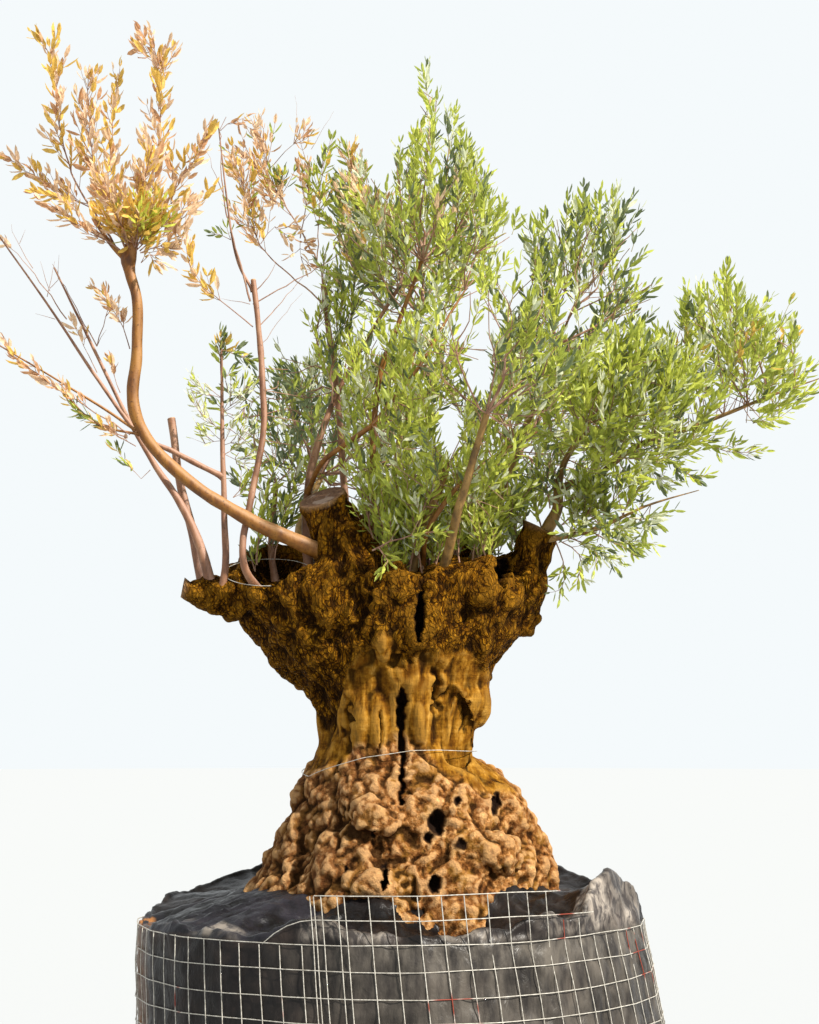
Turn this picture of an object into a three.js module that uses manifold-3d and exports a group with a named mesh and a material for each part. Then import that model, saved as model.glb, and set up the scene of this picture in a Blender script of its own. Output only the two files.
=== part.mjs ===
// An old pollarded olive tree on its wrapped root ball, lifted for transplanting.
// Millimetres, +Z up, +X to the right of the front view, +Y towards the back.
// The origin is the middle of the flat underside of the root ball.
//
// Structure, from the floor up: a root ball in black film inside a sleeve of wire mesh; a short,
// burred trunk that narrows to a waist and opens into a pollard head; cut stumps on that head;
// young boughs that rise from it; and the masses of foliage that the boughs enter.
import * as THREE from "three";
import { mergeVertices } from "three/addons/utils/BufferGeometryUtils.js";
import Module from "manifold-3d";

// ---------------------------------------------------------------- driving dimensions
const SEAT_GAP = 0.4; // left between pieces that touch
const SOIL_LEVEL = 950; // height of the soil on which the trunk is cut flat
const BALL_SIDES = 26;
const TRUNK_SIDES = 28;
const LIMB_SIDES = 6;
const LIMB_STEP = 225; // length of bough between two rings
const FLUTES = 7; // lobes round the trunk
const FLUTE_TWIST = 0.00045; // radians that the lobes turn in each millimetre of height

const BALL = {
  footRadius: 850,
  // height, radius and sideways shift of the sagging wall, from the floor up
  wall: [
    { z: 90, radius: 895, shift: 5 },
    { z: 340, radius: 922, shift: 25 },
    { z: 640, radius: 905, shift: 34 },
    { z: 870, radius: 886, shift: 10 },
    { z: 985, radius: 870, shift: 0 },
  ],
  rimRadius: 868,
  rimFront: 1000, // height of the rim at the front and sides
  rimBack: 1150, // and where the film is gathered up behind the trunk
  rimWidth: 60,
  seatRadius: 705, // flat soil that carries the trunk
};

// The mesh round the ball, and the loose piece of it that stands above the rim at the front.
const CAGE = { bottom: 15, thickness: 3, standOff: 0.6 };
const LOOSE_MESH = { height: 160, firstSide: 18, lastSide: 23 };

// Reach of the trunk's outline from its axis to the left, right, front and back at each height.
const TRUNK = {
  axis: { x: 25, y: 10 },
  sections: [
    { z: SOIL_LEVEL, left: 590, right: 615, front: 540, back: 500, flute: 0.07 },
    { z: 1080, left: 545, right: 588, front: 490, back: 450, flute: 0.08 },
    { z: 1195, left: 450, right: 570, front: 440, back: 410, flute: 0.08 },
    { z: 1330, left: 385, right: 505, front: 385, back: 360, flute: 0.08 },
    { z: 1435, left: 352, right: 440, front: 350, back: 330, flute: 0.08 },
    { z: 1540, left: 290, right: 304, front: 290, back: 275, flute: 0.08 },
    { z: 1600, left: 270, right: 255, front: 258, back: 252, flute: 0.08 },
    { z: 1650, left: 266, right: 248, front: 250, back: 245, flute: 0.08 },
    { z: 1695, left: 276, right: 296, front: 255, back: 250, flute: 0.08 },
    { z: 1755, left: 300, right: 338, front: 268, back: 265, flute: 0.08 },
    { z: 1870, left: 440, right: 362, front: 300, back: 310, flute: 0.09 },
    { z: 1985, left: 535, right: 470, front: 335, back: 360, flute: 0.11 },
    { z: 2095, left: 612, right: 505, front: 350, back: 395, flute: 0.13 },
  ],
  rim: { left: 600, right: 480, front: 330, back: 390, flute: 0.15 },
  rimHeight: { left: 2205, right: 2262, front: 2195, back: 2275 },
  crownDip: 40, // how far the top of the head sinks below its rim
};

// Old wood that rises from the head and was sawn off: foot and end are radii, and sawFace is the
// way that a slanting cut faces.
const STUMPS = {
  left_stub: { foot: 92, end: 40, root: [-500, -75, 2105], via: [[-610, -95, 2118]], tip: [-712, -110, 2137] },
  centre_stump: {
    root: [-105, -140, 2120], via: [[-160, -145, 2300]],
    tip: [-228, -140, 2448], foot: 150, end: 86, sawFace: [-0.32, -0.39, 0.86],
  },
  small_stump: { foot: 72, end: 50, root: [5, -20, 2150], via: [[-35, -10, 2290]], tip: [-72, 0, 2400] },
  right_limb: {
    root: [430, -10, 1990], via: [[472, -5, 2130], [508, 5, 2260]],
    tip: [532, 12, 2358], foot: 92, end: 67, sawFace: [0.42, -0.08, 0.9],
  },
  rear_left_stump: {
    root: [-240, 180, 2080], via: [[-278, 225, 2170]],
    tip: [-320, 285, 2260], foot: 120, end: 84,
  },
  rear_right_stump: {
    root: [210, 190, 2100], via: [[260, 250, 2260]],
    tip: [320, 320, 2420], foot: 110, end: 74,
  },
};

// Young boughs, each listed after what it grows from. A cut bough ends in a flat saw cut.
const BOUGHS = {
  arm_low: {
    root: [-190, -170, 2245], via: [[-468, -260, 2354], [-636, -300, 2459], [-769, -332, 2568]],
    tip: [-846, -341, 2672], foot: 30, end: 19,
  },
  arm_high: {
    root: [-846, -341, 2672], via: [[-862, -345, 2762], [-848, -345, 2928], [-852, -340, 3102]],
    tip: [-871, -331, 3370], foot: 20, end: 17, cut: true,
  },
  stub_bough: {
    root: [-640, -60, 2120], via: [[-690, -5, 2330], [-735, 12, 2500]],
    tip: [-772, 30, 2745], foot: 17, end: 13, cut: true,
  },
  bare_bough: {
    root: [-606, -110, 2125], via: [[-690, -95, 2370], [-816, -90, 2567], [-918, -100, 2745]],
    tip: [-1175, -110, 3262], foot: 18, end: 3,
  },
  upright_bough: {
    root: [-574, -140, 2110], via: [[-560, -150, 2240], [-573, -130, 2544]],
    tip: [-586, -90, 2995], foot: 13, end: 4,
  },
  crossing_bough: {
    root: [-574, -128, 2520], via: [[-735, -170, 2598], [-860, -185, 2665]],
    tip: [-1010, -185, 2860], foot: 11, end: 8,
  },
  crossing_twig: {
    root: [-1010, -185, 2860], via: [[-1150, -185, 3069]],
    tip: [-1368, -190, 3375], foot: 7.5, end: 3,
  },
  low_shoot: {
    root: [-865, -341, 2668], via: [[-1007, -342, 2758]],
    tip: [-1335, -350, 2955], foot: 6, end: 3,
  },
  low_side_shoot: {
    root: [-850, -341, 2645], via: [[-985, -330, 2678]],
    tip: [-1100, -325, 2785], foot: 5, end: 3,
  },
  hooked_bough: {
    root: [-455, -185, 2120],
    via: [[-498, -245, 2240], [-480, -225, 2378], [-434, -195, 2640], [-432, -185, 2815]],
    tip: [-470, -170, 3205], foot: 13.5, end: 9.5, cut: true,
  },
  leader_twig: {
    root: [-470, -170, 3165], via: [[-540, -160, 3330]],
    tip: [-600, -150, 3775], foot: 7, end: 3,
  },
  rear_bough: {
    root: [-280, 20, 2200], via: [[-285, 20, 2471], [-255, 30, 2640], [-160, 50, 2890]],
    tip: [30, 40, 3210], foot: 18, end: 8,
  },
  pink_bough: {
    root: [-140, 130, 2200], via: [[-172, 125, 2681], [-187, 120, 2859]],
    tip: [-236, 100, 3240], foot: 13, end: 9, cut: true,
  },
  red_bough: {
    root: [-45, -50, 2230], via: [[-58, -60, 2500], [-36, -65, 2853], [25, -60, 3040]],
    tip: [120, -40, 3300], foot: 14, end: 7,
  },
  centre_bough: {
    root: [90, -100, 2210], via: [[140, -150, 2380]],
    tip: [210, -180, 2560], foot: 17, end: 11,
  },
  front_bough: {
    root: [190, -190, 2170], via: [[240, -340, 2380]],
    tip: [330, -500, 2690], foot: 17, end: 11,
  },
  inner_left_bough: {
    root: [-400, 80, 2170], via: [[-420, 95, 2320]],
    tip: [-400, 80, 2520], foot: 13, end: 8,
  },
  upper_right_bough: {
    root: [290, 70, 2220], via: [[420, 80, 2540]],
    tip: [610, 60, 3020], foot: 19, end: 10,
  },
  limb_leader: {
    root: [556, 6, 2290], via: [[602, 6, 2390]],
    tip: [598, 4, 2515], foot: 21, end: 16,
  },
  long_right_bough: {
    root: [598, 4, 2488], via: [[715, 4, 2518], [892, 0, 2650]],
    tip: [1105, 0, 2722], foot: 14, end: 9,
  },
  right_bough: {
    root: [598, 0, 2500], via: [[625, -70, 2590]],
    tip: [690, -130, 2690], foot: 13, end: 9,
  },
  low_right_bough: {
    root: [540, -30, 2315], via: [[640, -50, 2322]],
    tip: [743, -80, 2350], foot: 12, end: 8,
  },
  rear_left_bough: {
    root: [-308, 268, 2225], via: [[-335, 400, 2390]],
    tip: [-260, 560, 2600], foot: 19, end: 11,
  },
  rear_right_bough: {
    root: [315, 315, 2380], via: [[380, 430, 2530]],
    tip: [440, 560, 2700], foot: 20, end: 11,
  },
  rear_top_bough: {
    root: [40, 300, 2190], via: [[20, 420, 2520], [60, 480, 2860]],
    tip: [110, 470, 3210], foot: 19, end: 10,
  },
};

// Masses of foliage: centre, half widths, and lean of the long axis to the right in degrees.
const MASSES = {
  tuft_core: { centre: [-865, -330, 3395], half: [240, 205, 190], lean: 0, detail: 2, leaf: "dry" },
  tuft_left: { centre: [-1048, -330, 3740], half: [115, 115, 325], lean: -21, detail: 2, leaf: "dry" },
  tuft_right: { centre: [-790, -315, 3755], half: [125, 120, 290], lean: 4, detail: 2, leaf: "dry" },
  tuft_spray: { centre: [-1190, -330, 3524], half: [175, 65, 60], lean: 22, detail: 1, leaf: "dry" },
  left_crown: { centre: [-405, -120, 3500], half: [250, 240, 325], lean: 10, detail: 2, leaf: "turning" },
  top_crown: { centre: [150, -20, 3445], half: [335, 310, 345], lean: 0, detail: 3, leaf: "green" },
  peak: { centre: [125, -20, 3880], half: [85, 85, 172], lean: -2, detail: 1, leaf: "green" },
  inner_left: { centre: [-395, 70, 2740], half: [225, 235, 345], lean: 0, detail: 2, leaf: "sparse" },
  centre: { centre: [175, -160, 2700], half: [345, 280, 385], lean: 0, detail: 3, leaf: "green" },
  front: { centre: [400, -590, 2890], half: [290, 220, 280], lean: 0, detail: 2, leaf: "green" },
  right_top: { centre: [690, 20, 3225], half: [275, 285, 350], lean: 4, detail: 3, leaf: "green" },
  right_middle: { centre: [830, -130, 2735], half: [290, 280, 240], lean: 0, detail: 2, leaf: "green" },
  right_low: { centre: [835, -90, 2350], half: [245, 185, 150], lean: 20, detail: 2, leaf: "green" },
  far_right: { centre: [1245, 0, 2985], half: [290, 215, 330], lean: 20, detail: 3, leaf: "green" },
  rear_left: { centre: [-165, 675, 2760], half: [370, 300, 330], lean: 0, detail: 2, leaf: "green" },
  rear_right: { centre: [520, 695, 2920], half: [400, 310, 380], lean: 0, detail: 2, leaf: "green" },
  rear_top: { centre: [130, 540, 3430], half: [310, 235, 300], lean: 0, detail: 2, leaf: "green" },
};

const FINISH = {
  film: { color: 0x2b2a2c, roughness: 0.42 },
  wire: { color: 0xa9a59b, roughness: 0.4, metalness: 0.9 },
  oldWood: { color: 0x7a5524, roughness: 0.92 },
  youngBark: { color: 0xa8683c, roughness: 0.8 },
  green: { color: 0x6f8a2c, roughness: 0.65 },
  sparse: { color: 0x66793f, roughness: 0.65 },
  turning: { color: 0xa98a4a, roughness: 0.7 },
  dry: { color: 0xb98544, roughness: 0.75 },
};

// ---------------------------------------------------------------- solids and booleans
const wasm = await Module();
wasm.setup();

function toSolid(geometry) {
  const bare = geometry.clone();
  bare.deleteAttribute("normal");
  bare.deleteAttribute("uv");
  const merged = mergeVertices(bare, 1e-3);
  return new wasm.Manifold(
    new wasm.Mesh({
      numProp: 3,
      vertProperties: merged.attributes.position.array,
      triVerts: new Uint32Array(merged.index.array),
    }),
  );
}

function toGeometry(solid) {
  const mesh = solid.getMesh();
  const geometry = new THREE.BufferGeometry();
  geometry.setAttribute("position", new THREE.BufferAttribute(mesh.vertProperties, 3));
  geometry.setIndex(new THREE.BufferAttribute(mesh.triVerts, 1));
  geometry.computeVertexNormals();
  return geometry;
}

// A closed skin over rings of equally many points, each end closed by a fan to its own middle point.
function skinOver(rings, startPoint, endPoint) {
  const sides = rings[0].length;
  const points = [...rings.flat(), startPoint, endPoint];
  const start = points.length - 2;
  const end = points.length - 1;
  const last = (rings.length - 1) * sides;
  const index = [];
  for (let i = 0; i < sides; i++) {
    const j = (i + 1) % sides;
    index.push(start, j, i, end, last + i, last + j);
    for (let ring = 0; ring < last; ring += sides) {
      index.push(ring + i, ring + j, ring + sides + j);
      index.push(ring + i, ring + sides + j, ring + sides + i);
    }
  }
  const geometry = new THREE.BufferGeometry().setFromPoints(points);
  geometry.setIndex(index);
  return geometry;
}

// ---------------------------------------------------------------- root ball and its cage
const ballAngles = Array.from({ length: BALL_SIDES }, (_, i) => (i * 2 * Math.PI) / BALL_SIDES);

// Slight bulges that keep the wrapped soil from being a true round.
function ballBulge(angle) {
  return 1 + 0.012 * Math.sin(3 * angle + 0.6) + 0.008 * Math.sin(5 * angle + 2.1);
}

function ballRing(z, radius, shift) {
  const heightAt = typeof z === "function" ? z : () => z;
  return ballAngles.map((angle) => {
    const reach = radius * ballBulge(angle);
    return new THREE.Vector3(shift + reach * Math.cos(angle), reach * Math.sin(angle), heightAt(angle));
  });
}

function rimHeight(angle) {
  const behind = Math.max(0, Math.sin(angle));
  return BALL.rimFront + (BALL.rimBack - BALL.rimFront) * behind * behind;
}

function rootBall() {
  const seatHeight = SOIL_LEVEL - SEAT_GAP;
  const rings = [
    ballRing(0, BALL.footRadius, 0),
    ...BALL.wall.map(({ z, radius, shift }) => ballRing(z, radius, shift)),
    ballRing(rimHeight, BALL.rimRadius, 0),
    ballRing((angle) => rimHeight(angle) + 12, BALL.rimRadius - BALL.rimWidth, 0),
    ballRing(seatHeight, BALL.seatRadius, 0),
  ];
  return skinOver(rings, new THREE.Vector3(0, 0, 0), new THREE.Vector3(0, 0, seatHeight));
}

// Radius and shift of the ball's wall at a height between two of its stated rings.
function wallAt(z) {
  const stations = [{ z: 0, radius: BALL.footRadius, shift: 0 }, ...BALL.wall];
  const upper = stations.findIndex((station) => station.z >= z);
  const [a, b] = [stations[Math.max(0, upper - 1)], stations[Math.max(1, upper)]];
  const share = (z - a.z) / (b.z - a.z);
  return {
    z,
    radius: THREE.MathUtils.lerp(a.radius, b.radius, share),
    shift: THREE.MathUtils.lerp(a.shift, b.shift, share),
  };
}

function wireCage() {
  const heights = [CAGE.bottom, ...BALL.wall.map(({ z }) => z)];
  const sleeve = (extra, overshoot) => {
    const rings = heights.map(wallAt).map(({ z, radius, shift }) => ballRing(z, radius + extra, shift));
    if (overshoot) {
      rings.unshift(rings[0].map(({ x, y, z }) => new THREE.Vector3(x, y, z - overshoot)));
      rings.push(rings.at(-1).map(({ x, y, z }) => new THREE.Vector3(x, y, z + overshoot)));
    }
    const middle = (ring) => new THREE.Vector3(0, 0, ring[0].z);
    return toSolid(skinOver(rings, middle(rings[0]), middle(rings.at(-1))));
  };
  return sleeve(CAGE.standOff + CAGE.thickness, 0).subtract(sleeve(CAGE.standOff, 10));
}

// The loose piece of mesh, a narrow band that stands on the front of the cage.
function looseMesh() {
  const top = BALL.wall.at(-1);
  const low = top.z + SEAT_GAP;
  const high = low + LOOSE_MESH.height;
  const columns = ballAngles.slice(LOOSE_MESH.firstSide, LOOSE_MESH.lastSide + 1).map((angle) => {
    const corner = (extra, z) => {
      const reach = (top.radius + extra) * ballBulge(angle);
      return new THREE.Vector3(top.shift + reach * Math.cos(angle), reach * Math.sin(angle), z);
    };
    const inner = CAGE.standOff;
    const outer = CAGE.standOff + CAGE.thickness;
    return [corner(inner, low), corner(inner, high), corner(outer, high), corner(outer, low)];
  });
  const middle = ([a, , c]) => a.clone().add(c).multiplyScalar(0.5);
  return skinOver(columns, middle(columns[0]), middle(columns.at(-1)));
}

// ---------------------------------------------------------------- trunk
const trunkAngles = Array.from({ length: TRUNK_SIDES }, (_, i) => (i * 2 * Math.PI) / TRUNK_SIDES);

function trunkPoint(section, angle, z, grow) {
  const across = Math.cos(angle);
  const along = Math.sin(angle);
  const lobes = Math.abs(Math.sin((FLUTES * (angle + z * FLUTE_TWIST)) / 2 + 0.4));
  const pinch = 1 - section.flute * (1 - lobes);
  return new THREE.Vector3(
    TRUNK.axis.x + across * ((across > 0 ? section.right : section.left) * pinch + grow),
    TRUNK.axis.y + along * ((along > 0 ? section.back : section.front) * pinch + grow),
    z,
  );
}

function rimPointHeight(angle) {
  const { left, right, front, back } = TRUNK.rimHeight;
  const across = Math.cos(angle);
  const along = Math.sin(angle);
  const sideways = across > 0 ? right : left;
  const deep = along > 0 ? back : front;
  return sideways * across * across + deep * along * along + 14 * Math.sin(5 * angle);
}

// The trunk, or the same shape grown outwards by a small clearance to cut its neighbours with.
function trunk(grow = 0) {
  const rings = TRUNK.sections.map((section) =>
    trunkAngles.map((angle) => trunkPoint(section, angle, section.z, grow)),
  );
  rings.push(trunkAngles.map((angle) => trunkPoint(TRUNK.rim, angle, rimPointHeight(angle) + grow, grow)));
  const heights = Object.values(TRUNK.rimHeight);
  const level = heights.reduce((sum, height) => sum + height, 0) / heights.length - TRUNK.crownDip;
  const foot = new THREE.Vector3(TRUNK.axis.x, TRUNK.axis.y, SOIL_LEVEL);
  return skinOver(rings, foot, new THREE.Vector3(TRUNK.axis.x, TRUNK.axis.y, level + grow));
}

// ---------------------------------------------------------------- stumps and boughs
// A tapering limb along a smooth curve. A limb that isn't cut ends in a short point.
function limb(sizes, { sides = LIMB_SIDES, grow = 0, uneven = 0 } = {}) {
  const { root, via, tip, foot, end, cut = false, sawFace } = sizes;
  const stations = [root, ...via, tip].map((station) => new THREE.Vector3(...station));
  const curve = new THREE.CatmullRomCurve3(stations, false, "centripetal");
  const steps = Math.max(3, Math.round(curve.getLength() / LIMB_STEP));
  const frames = curve.computeFrenetFrames(steps, false);
  const rings = [];
  for (let i = 0; i <= steps; i++) {
    const along = i / steps;
    const centre = curve.getPointAt(along);
    if (i === steps) centre.addScaledVector(frames.tangents[i], grow);
    const radius = THREE.MathUtils.lerp(foot, end, along ** 0.85) + grow;
    rings.push(
      Array.from({ length: sides }, (_, side) => {
        const angle = (side * 2 * Math.PI) / sides;
        const reach = radius * (1 + uneven * Math.sin(3 * angle + 2 * i));
        return centre
          .clone()
          .addScaledVector(frames.normals[i], reach * Math.cos(angle))
          .addScaledVector(frames.binormals[i], reach * Math.sin(angle));
      }),
    );
  }
  if (sawFace) {
    const face = new THREE.Vector3(...sawFace).normalize();
    const middle = curve.getPointAt(1).addScaledVector(frames.tangents[steps], grow);
    rings[steps].forEach((corner) => {
      const short = face.dot(middle.clone().sub(corner)) / face.dot(frames.tangents[steps]);
      corner.addScaledVector(frames.tangents[steps], short);
    });
  }
  const point = curve.getPointAt(1).addScaledVector(frames.tangents[steps], (cut ? 0 : end) + grow);
  return skinOver(rings, curve.getPointAt(0), point);
}

// ---------------------------------------------------------------- masses of foliage
// An uneven closed ball of leaves: waves of several lengths swell and dent it.
function mass({ centre, half, lean, detail }, seed, grow = 0) {
  const geometry = mergeVertices(bareOf(new THREE.IcosahedronGeometry(1, detail)), 1e-4);
  const position = geometry.attributes.position;
  const turn = new THREE.Matrix4().makeRotationY(THREE.MathUtils.degToRad(lean));
  const point = new THREE.Vector3();
  for (let i = 0; i < position.count; i++) {
    point.fromBufferAttribute(position, i).normalize();
    const swell =
      1 +
      0.1 * Math.sin(3.1 * point.x + 2.3 * point.z + seed) +
      0.08 * Math.sin(4.7 * point.y - 3.9 * point.z + 2.3 * seed) +
      0.07 * Math.sin(6.3 * point.x - 5.1 * point.y + 4.1 * seed);
    point.set(
      point.x * (half[0] * swell + grow),
      point.y * (half[1] * swell + grow),
      point.z * (half[2] * swell + grow),
    );
    point.applyMatrix4(turn).add(new THREE.Vector3(...centre));
    position.setXYZ(i, point.x, point.y, point.z);
  }
  return geometry;
}

function bareOf(geometry) {
  geometry.deleteAttribute("normal");
  geometry.deleteAttribute("uv");
  return geometry;
}

// ---------------------------------------------------------------- assembly
const finishes = Object.fromEntries(
  Object.entries(FINISH).map(([name, look]) => [name, new THREE.MeshStandardMaterial(look)]),
);

const tree = new THREE.Group();
const foot = new THREE.Group();
const oldWood = new THREE.Group();
const boughs = new THREE.Group();
const crown = new THREE.Group();
tree.add(foot, oldWood, boughs, crown);

// Adds a piece to its group, standing at its own place.
function place(group, name, solid, place, finish) {
  const geometry = toGeometry(solid).translate(-place[0], -place[1], -place[2]);
  const mesh = new THREE.Mesh(geometry, finish);
  mesh.name = name;
  mesh.position.set(...place);
  group.add(mesh);
}

function cutBy(solid, cutters) {
  return cutters.reduce((rest, cutter) => rest.subtract(cutter), solid);
}

// What is left of a piece once its neighbours are cut from it: the largest body.
function largestBody(solid) {
  return solid.decompose().reduce((best, body) => (body.volume() > best.volume() ? body : best));
}

place(foot, "root_ball", toSolid(rootBall()), [0, 0, 0], finishes.film);
place(foot, "wire_cage", wireCage(), [0, 0, 0], finishes.wire);
place(foot, "loose_mesh", toSolid(looseMesh()), [0, 0, BALL.wall.at(-1).z], finishes.wire);
place(oldWood, "trunk", toSolid(trunk()), [TRUNK.axis.x, TRUNK.axis.y, SOIL_LEVEL], finishes.oldWood);

const cutters = [toSolid(trunk(SEAT_GAP))];
for (const [name, sizes] of Object.entries(STUMPS)) {
  const shape = { sides: 9, uneven: 0.07 };
  const solid = cutBy(toSolid(limb({ ...sizes, cut: true }, shape)), cutters);
  place(oldWood, name, largestBody(solid), sizes.root, finishes.oldWood);
  cutters.push(toSolid(limb({ ...sizes, cut: true }, { ...shape, grow: SEAT_GAP })));
}

for (const [name, sizes] of Object.entries(BOUGHS)) {
  const solid = cutBy(toSolid(limb(sizes)), cutters);
  place(boughs, name, largestBody(solid), sizes.root, finishes.youngBark);
  cutters.push(toSolid(limb(sizes, { grow: SEAT_GAP })));
}

Object.entries(MASSES).forEach(([name, sizes], seed) => {
  const solid = cutBy(toSolid(mass(sizes, seed)), cutters);
  place(crown, `foliage_${name}`, largestBody(solid), sizes.centre, finishes[sizes.leaf]);
  cutters.push(toSolid(mass(sizes, seed, SEAT_GAP)));
});

export default tree;
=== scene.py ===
from math import cos, pi, radians, sin

import bmesh
import bpy
import numpy as np
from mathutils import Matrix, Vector, noise
from mathutils.bvhtree import BVHTree


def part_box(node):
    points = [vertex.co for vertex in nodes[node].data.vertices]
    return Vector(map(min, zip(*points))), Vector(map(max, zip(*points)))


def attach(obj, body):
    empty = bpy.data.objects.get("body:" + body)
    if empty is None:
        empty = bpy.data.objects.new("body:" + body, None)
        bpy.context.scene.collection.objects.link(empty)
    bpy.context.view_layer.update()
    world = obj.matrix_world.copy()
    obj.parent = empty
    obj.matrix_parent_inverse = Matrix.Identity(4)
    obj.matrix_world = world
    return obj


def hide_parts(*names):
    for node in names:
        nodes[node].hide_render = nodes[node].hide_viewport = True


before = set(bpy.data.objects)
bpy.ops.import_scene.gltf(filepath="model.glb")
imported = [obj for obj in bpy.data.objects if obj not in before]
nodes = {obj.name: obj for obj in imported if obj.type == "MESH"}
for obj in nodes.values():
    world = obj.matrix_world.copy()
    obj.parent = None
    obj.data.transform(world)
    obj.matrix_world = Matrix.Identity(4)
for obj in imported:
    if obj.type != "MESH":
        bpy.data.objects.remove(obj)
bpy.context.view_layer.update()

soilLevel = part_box("trunk")[0].z
trunkMiddle = (0.025, 0.01)  # the trunk's axis, from above
massNames = [name for name in nodes if name.startswith("foliage_")]
stumps = {  # middle, facing and radius of each sawn face
    "left_stub": ((-0.712, -0.110, 2.137), (-0.97, -0.14, 0.18), 0.040),
    "centre_stump": ((-0.228, -0.140, 2.448), (-0.32, -0.39, 0.86), 0.091),
    "small_stump": ((-0.072, 0.000, 2.400), (-0.32, 0.09, 0.94), 0.050),
    "right_limb": ((0.532, 0.012, 2.358), (0.42, -0.08, 0.90), 0.070),
    "rear_left_stump": ((-0.320, 0.285, 2.260), (-0.36, 0.50, 0.78), 0.084),
    "rear_right_stump": ((0.320, 0.320, 2.420), (0.32, 0.38, 0.87), 0.074),
}


# camera and light

view = {"place": (0.075, -7.5, 1.7), "upwardTilt": 5.4, "lens": 75, "sensor": 36, "farthest": 200}
lamps = {
    "sunFrom": (0.78, -0.58, 0.80), "sunPower": 7.2, "sunSpread": 0.03, "sun": (1.0, 0.95, 0.86),
    "sky": (0.913, 0.956, 0.973), "skyPower": 1.0, "floor": (0.400, 0.412, 0.425), "floorReach": 60,
}


def setCamera():
    camera = bpy.data.objects.new("camera", bpy.data.cameras.new("camera"))
    camera.data.lens = view["lens"]
    camera.data.sensor_width = view["sensor"]
    camera.data.clip_end = view["farthest"]
    camera.location = view["place"]
    camera.rotation_euler = (radians(90 + view["upwardTilt"]), 0, 0)
    bpy.context.scene.collection.objects.link(camera)
    bpy.context.scene.camera = camera


def setLights():
    sun = bpy.data.objects.new("sun", bpy.data.lights.new("sun", "SUN"))
    sun.data.energy = lamps["sunPower"]
    sun.data.angle = lamps["sunSpread"]
    sun.data.color = lamps["sun"]
    sun.rotation_euler = Vector(lamps["sunFrom"]).to_track_quat("Z", "Y").to_euler()
    bpy.context.scene.collection.objects.link(sun)
    world = bpy.data.worlds.new("studio")
    world.use_nodes = True
    sky = world.node_tree.nodes["Background"]
    sky.inputs["Color"].default_value = (*lamps["sky"], 1)
    sky.inputs["Strength"].default_value = lamps["skyPower"]
    bpy.context.scene.world = world
    bpy.context.scene.view_settings.view_transform = "Standard"


# materials: sockets that take arithmetic, and one method that adds any other node

class Socket:
    def __init__(self, finish, end):
        self.finish = finish
        self.end = end

    def math(self, operation, *values):
        return self.finish.node("Math", {"operation": operation}, dict(enumerate(values)))

    def __add__(self, other):
        return self.math("ADD", self, other)

    def __sub__(self, other):
        return self.math("SUBTRACT", self, other)

    def __rsub__(self, other):
        return self.math("SUBTRACT", other, self)

    def __mul__(self, other):
        return self.math("MULTIPLY", self, other)

    def __truediv__(self, other):
        return self.math("DIVIDE", self, other)

    def __pow__(self, other):
        return self.math("POWER", self, other)

    __radd__ = __add__
    __rmul__ = __mul__

    def fade(self, low, high, start=0.0, stop=1.0):  # from start to stop as the value goes from low to high
        settings = {"interpolation_type": "SMOOTHSTEP"}
        return self.finish.node("MapRange", settings, {0: self, 1: low, 2: high, 3: start, 4: stop})


class Finish:
    def __init__(self, name, **constants):
        self.material = bpy.data.materials.new(name)
        self.material.use_nodes = True
        self.tree = self.material.node_tree
        self.shader = self.tree.nodes["Principled BSDF"]
        for socket, value in constants.items():
            self.shader.inputs[socket.replace("_", " ")].default_value = value
        self.place = self.node("TexCoord", output="Object")

    def node(self, kind, settings=None, inputs=None, output=0):
        made = self.tree.nodes.new("ShaderNode" + kind)
        for key, value in (settings or {}).items():
            if key == "stops":
                self.setStops(made.color_ramp, value)
            else:
                setattr(made, key, value)
        for key, value in (inputs or {}).items():
            self.plug(value, made.inputs[key])
        return Socket(self, made.outputs[output])

    def setStops(self, ramp, stops):
        while len(ramp.elements) < len(stops):
            ramp.elements.new(0.5)
        for element, (position, colour) in zip(ramp.elements, stops):
            element.position = position
            element.color = (*colour, 1)

    def plug(self, value, socket):
        if isinstance(value, Socket):
            self.tree.links.new(value.end, socket)
        elif socket.type == "RGBA":
            socket.default_value = (*value, 1)
        else:
            socket.default_value = value

    def attribute(self, name):
        return self.node("Attribute", {"attribute_name": name}, output="Fac")

    def stretched(self, scale):  # places squeezed or drawn out along each axis
        return self.node("Mapping", {}, {"Vector": self.place, "Scale": scale})

    def noise(self, scale, detail=3.0, roughness=0.55, where=None, distortion=0.0):
        values = {"Vector": where or self.place, "Scale": scale, "Detail": detail}
        values |= {"Roughness": roughness, "Distortion": distortion}
        return self.node("TexNoise", {}, values)

    def cells(self, scale, feature="F1", where=None, randomness=1.0):
        values = {"Vector": where or self.place, "Scale": scale, "Randomness": randomness}
        return self.node("TexVoronoi", {"feature": feature}, values)

    def mix(self, factor, first, second, blend="MIX"):
        settings = {"data_type": "RGBA", "blend_type": blend}
        return self.node("Mix", settings, {0: factor, 6: first, 7: second}, output=2)

    def ramp(self, value, *stops):
        return self.node("ValToRGB", {"stops": stops}, {0: value})

    def feed(self, **inputs):
        for socket, value in inputs.items():
            self.plug(value, self.shader.inputs[socket.replace("_", " ")])

    def relief(self, height, depth, strength=1.0):  # height from 0 to 1, depth in metres
        values = {"Height": height, "Distance": depth, "Strength": strength}
        self.feed(Normal=self.node("Bump", {}, values, output="Normal"))


# small tools for meshes

def smoothstep(low, high, value):
    share = np.clip((value - low) / (high - low), 0, 1)
    return share * share * (3 - 2 * share)


def noiseAt(places, size, seed=0):  # smooth noise from -1 to 1, with bumps about as wide as size
    shift = Vector((seed * 7.31, seed * -3.17, seed * 5.73))
    return np.array([noise.noise(Vector(p) / size + shift) for p in places])


def noisesAt(places, size, seeds):  # one smooth noise along each axis
    return np.stack([noiseAt(places, size, seed) for seed in seeds], axis=1)


def creasesAt(places, size, seed=0):  # 1 along sharp creases about size apart, 0 between them
    return np.clip(1 - 4 * np.abs(noiseAt(places, size, seed)), 0, 1)


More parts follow.
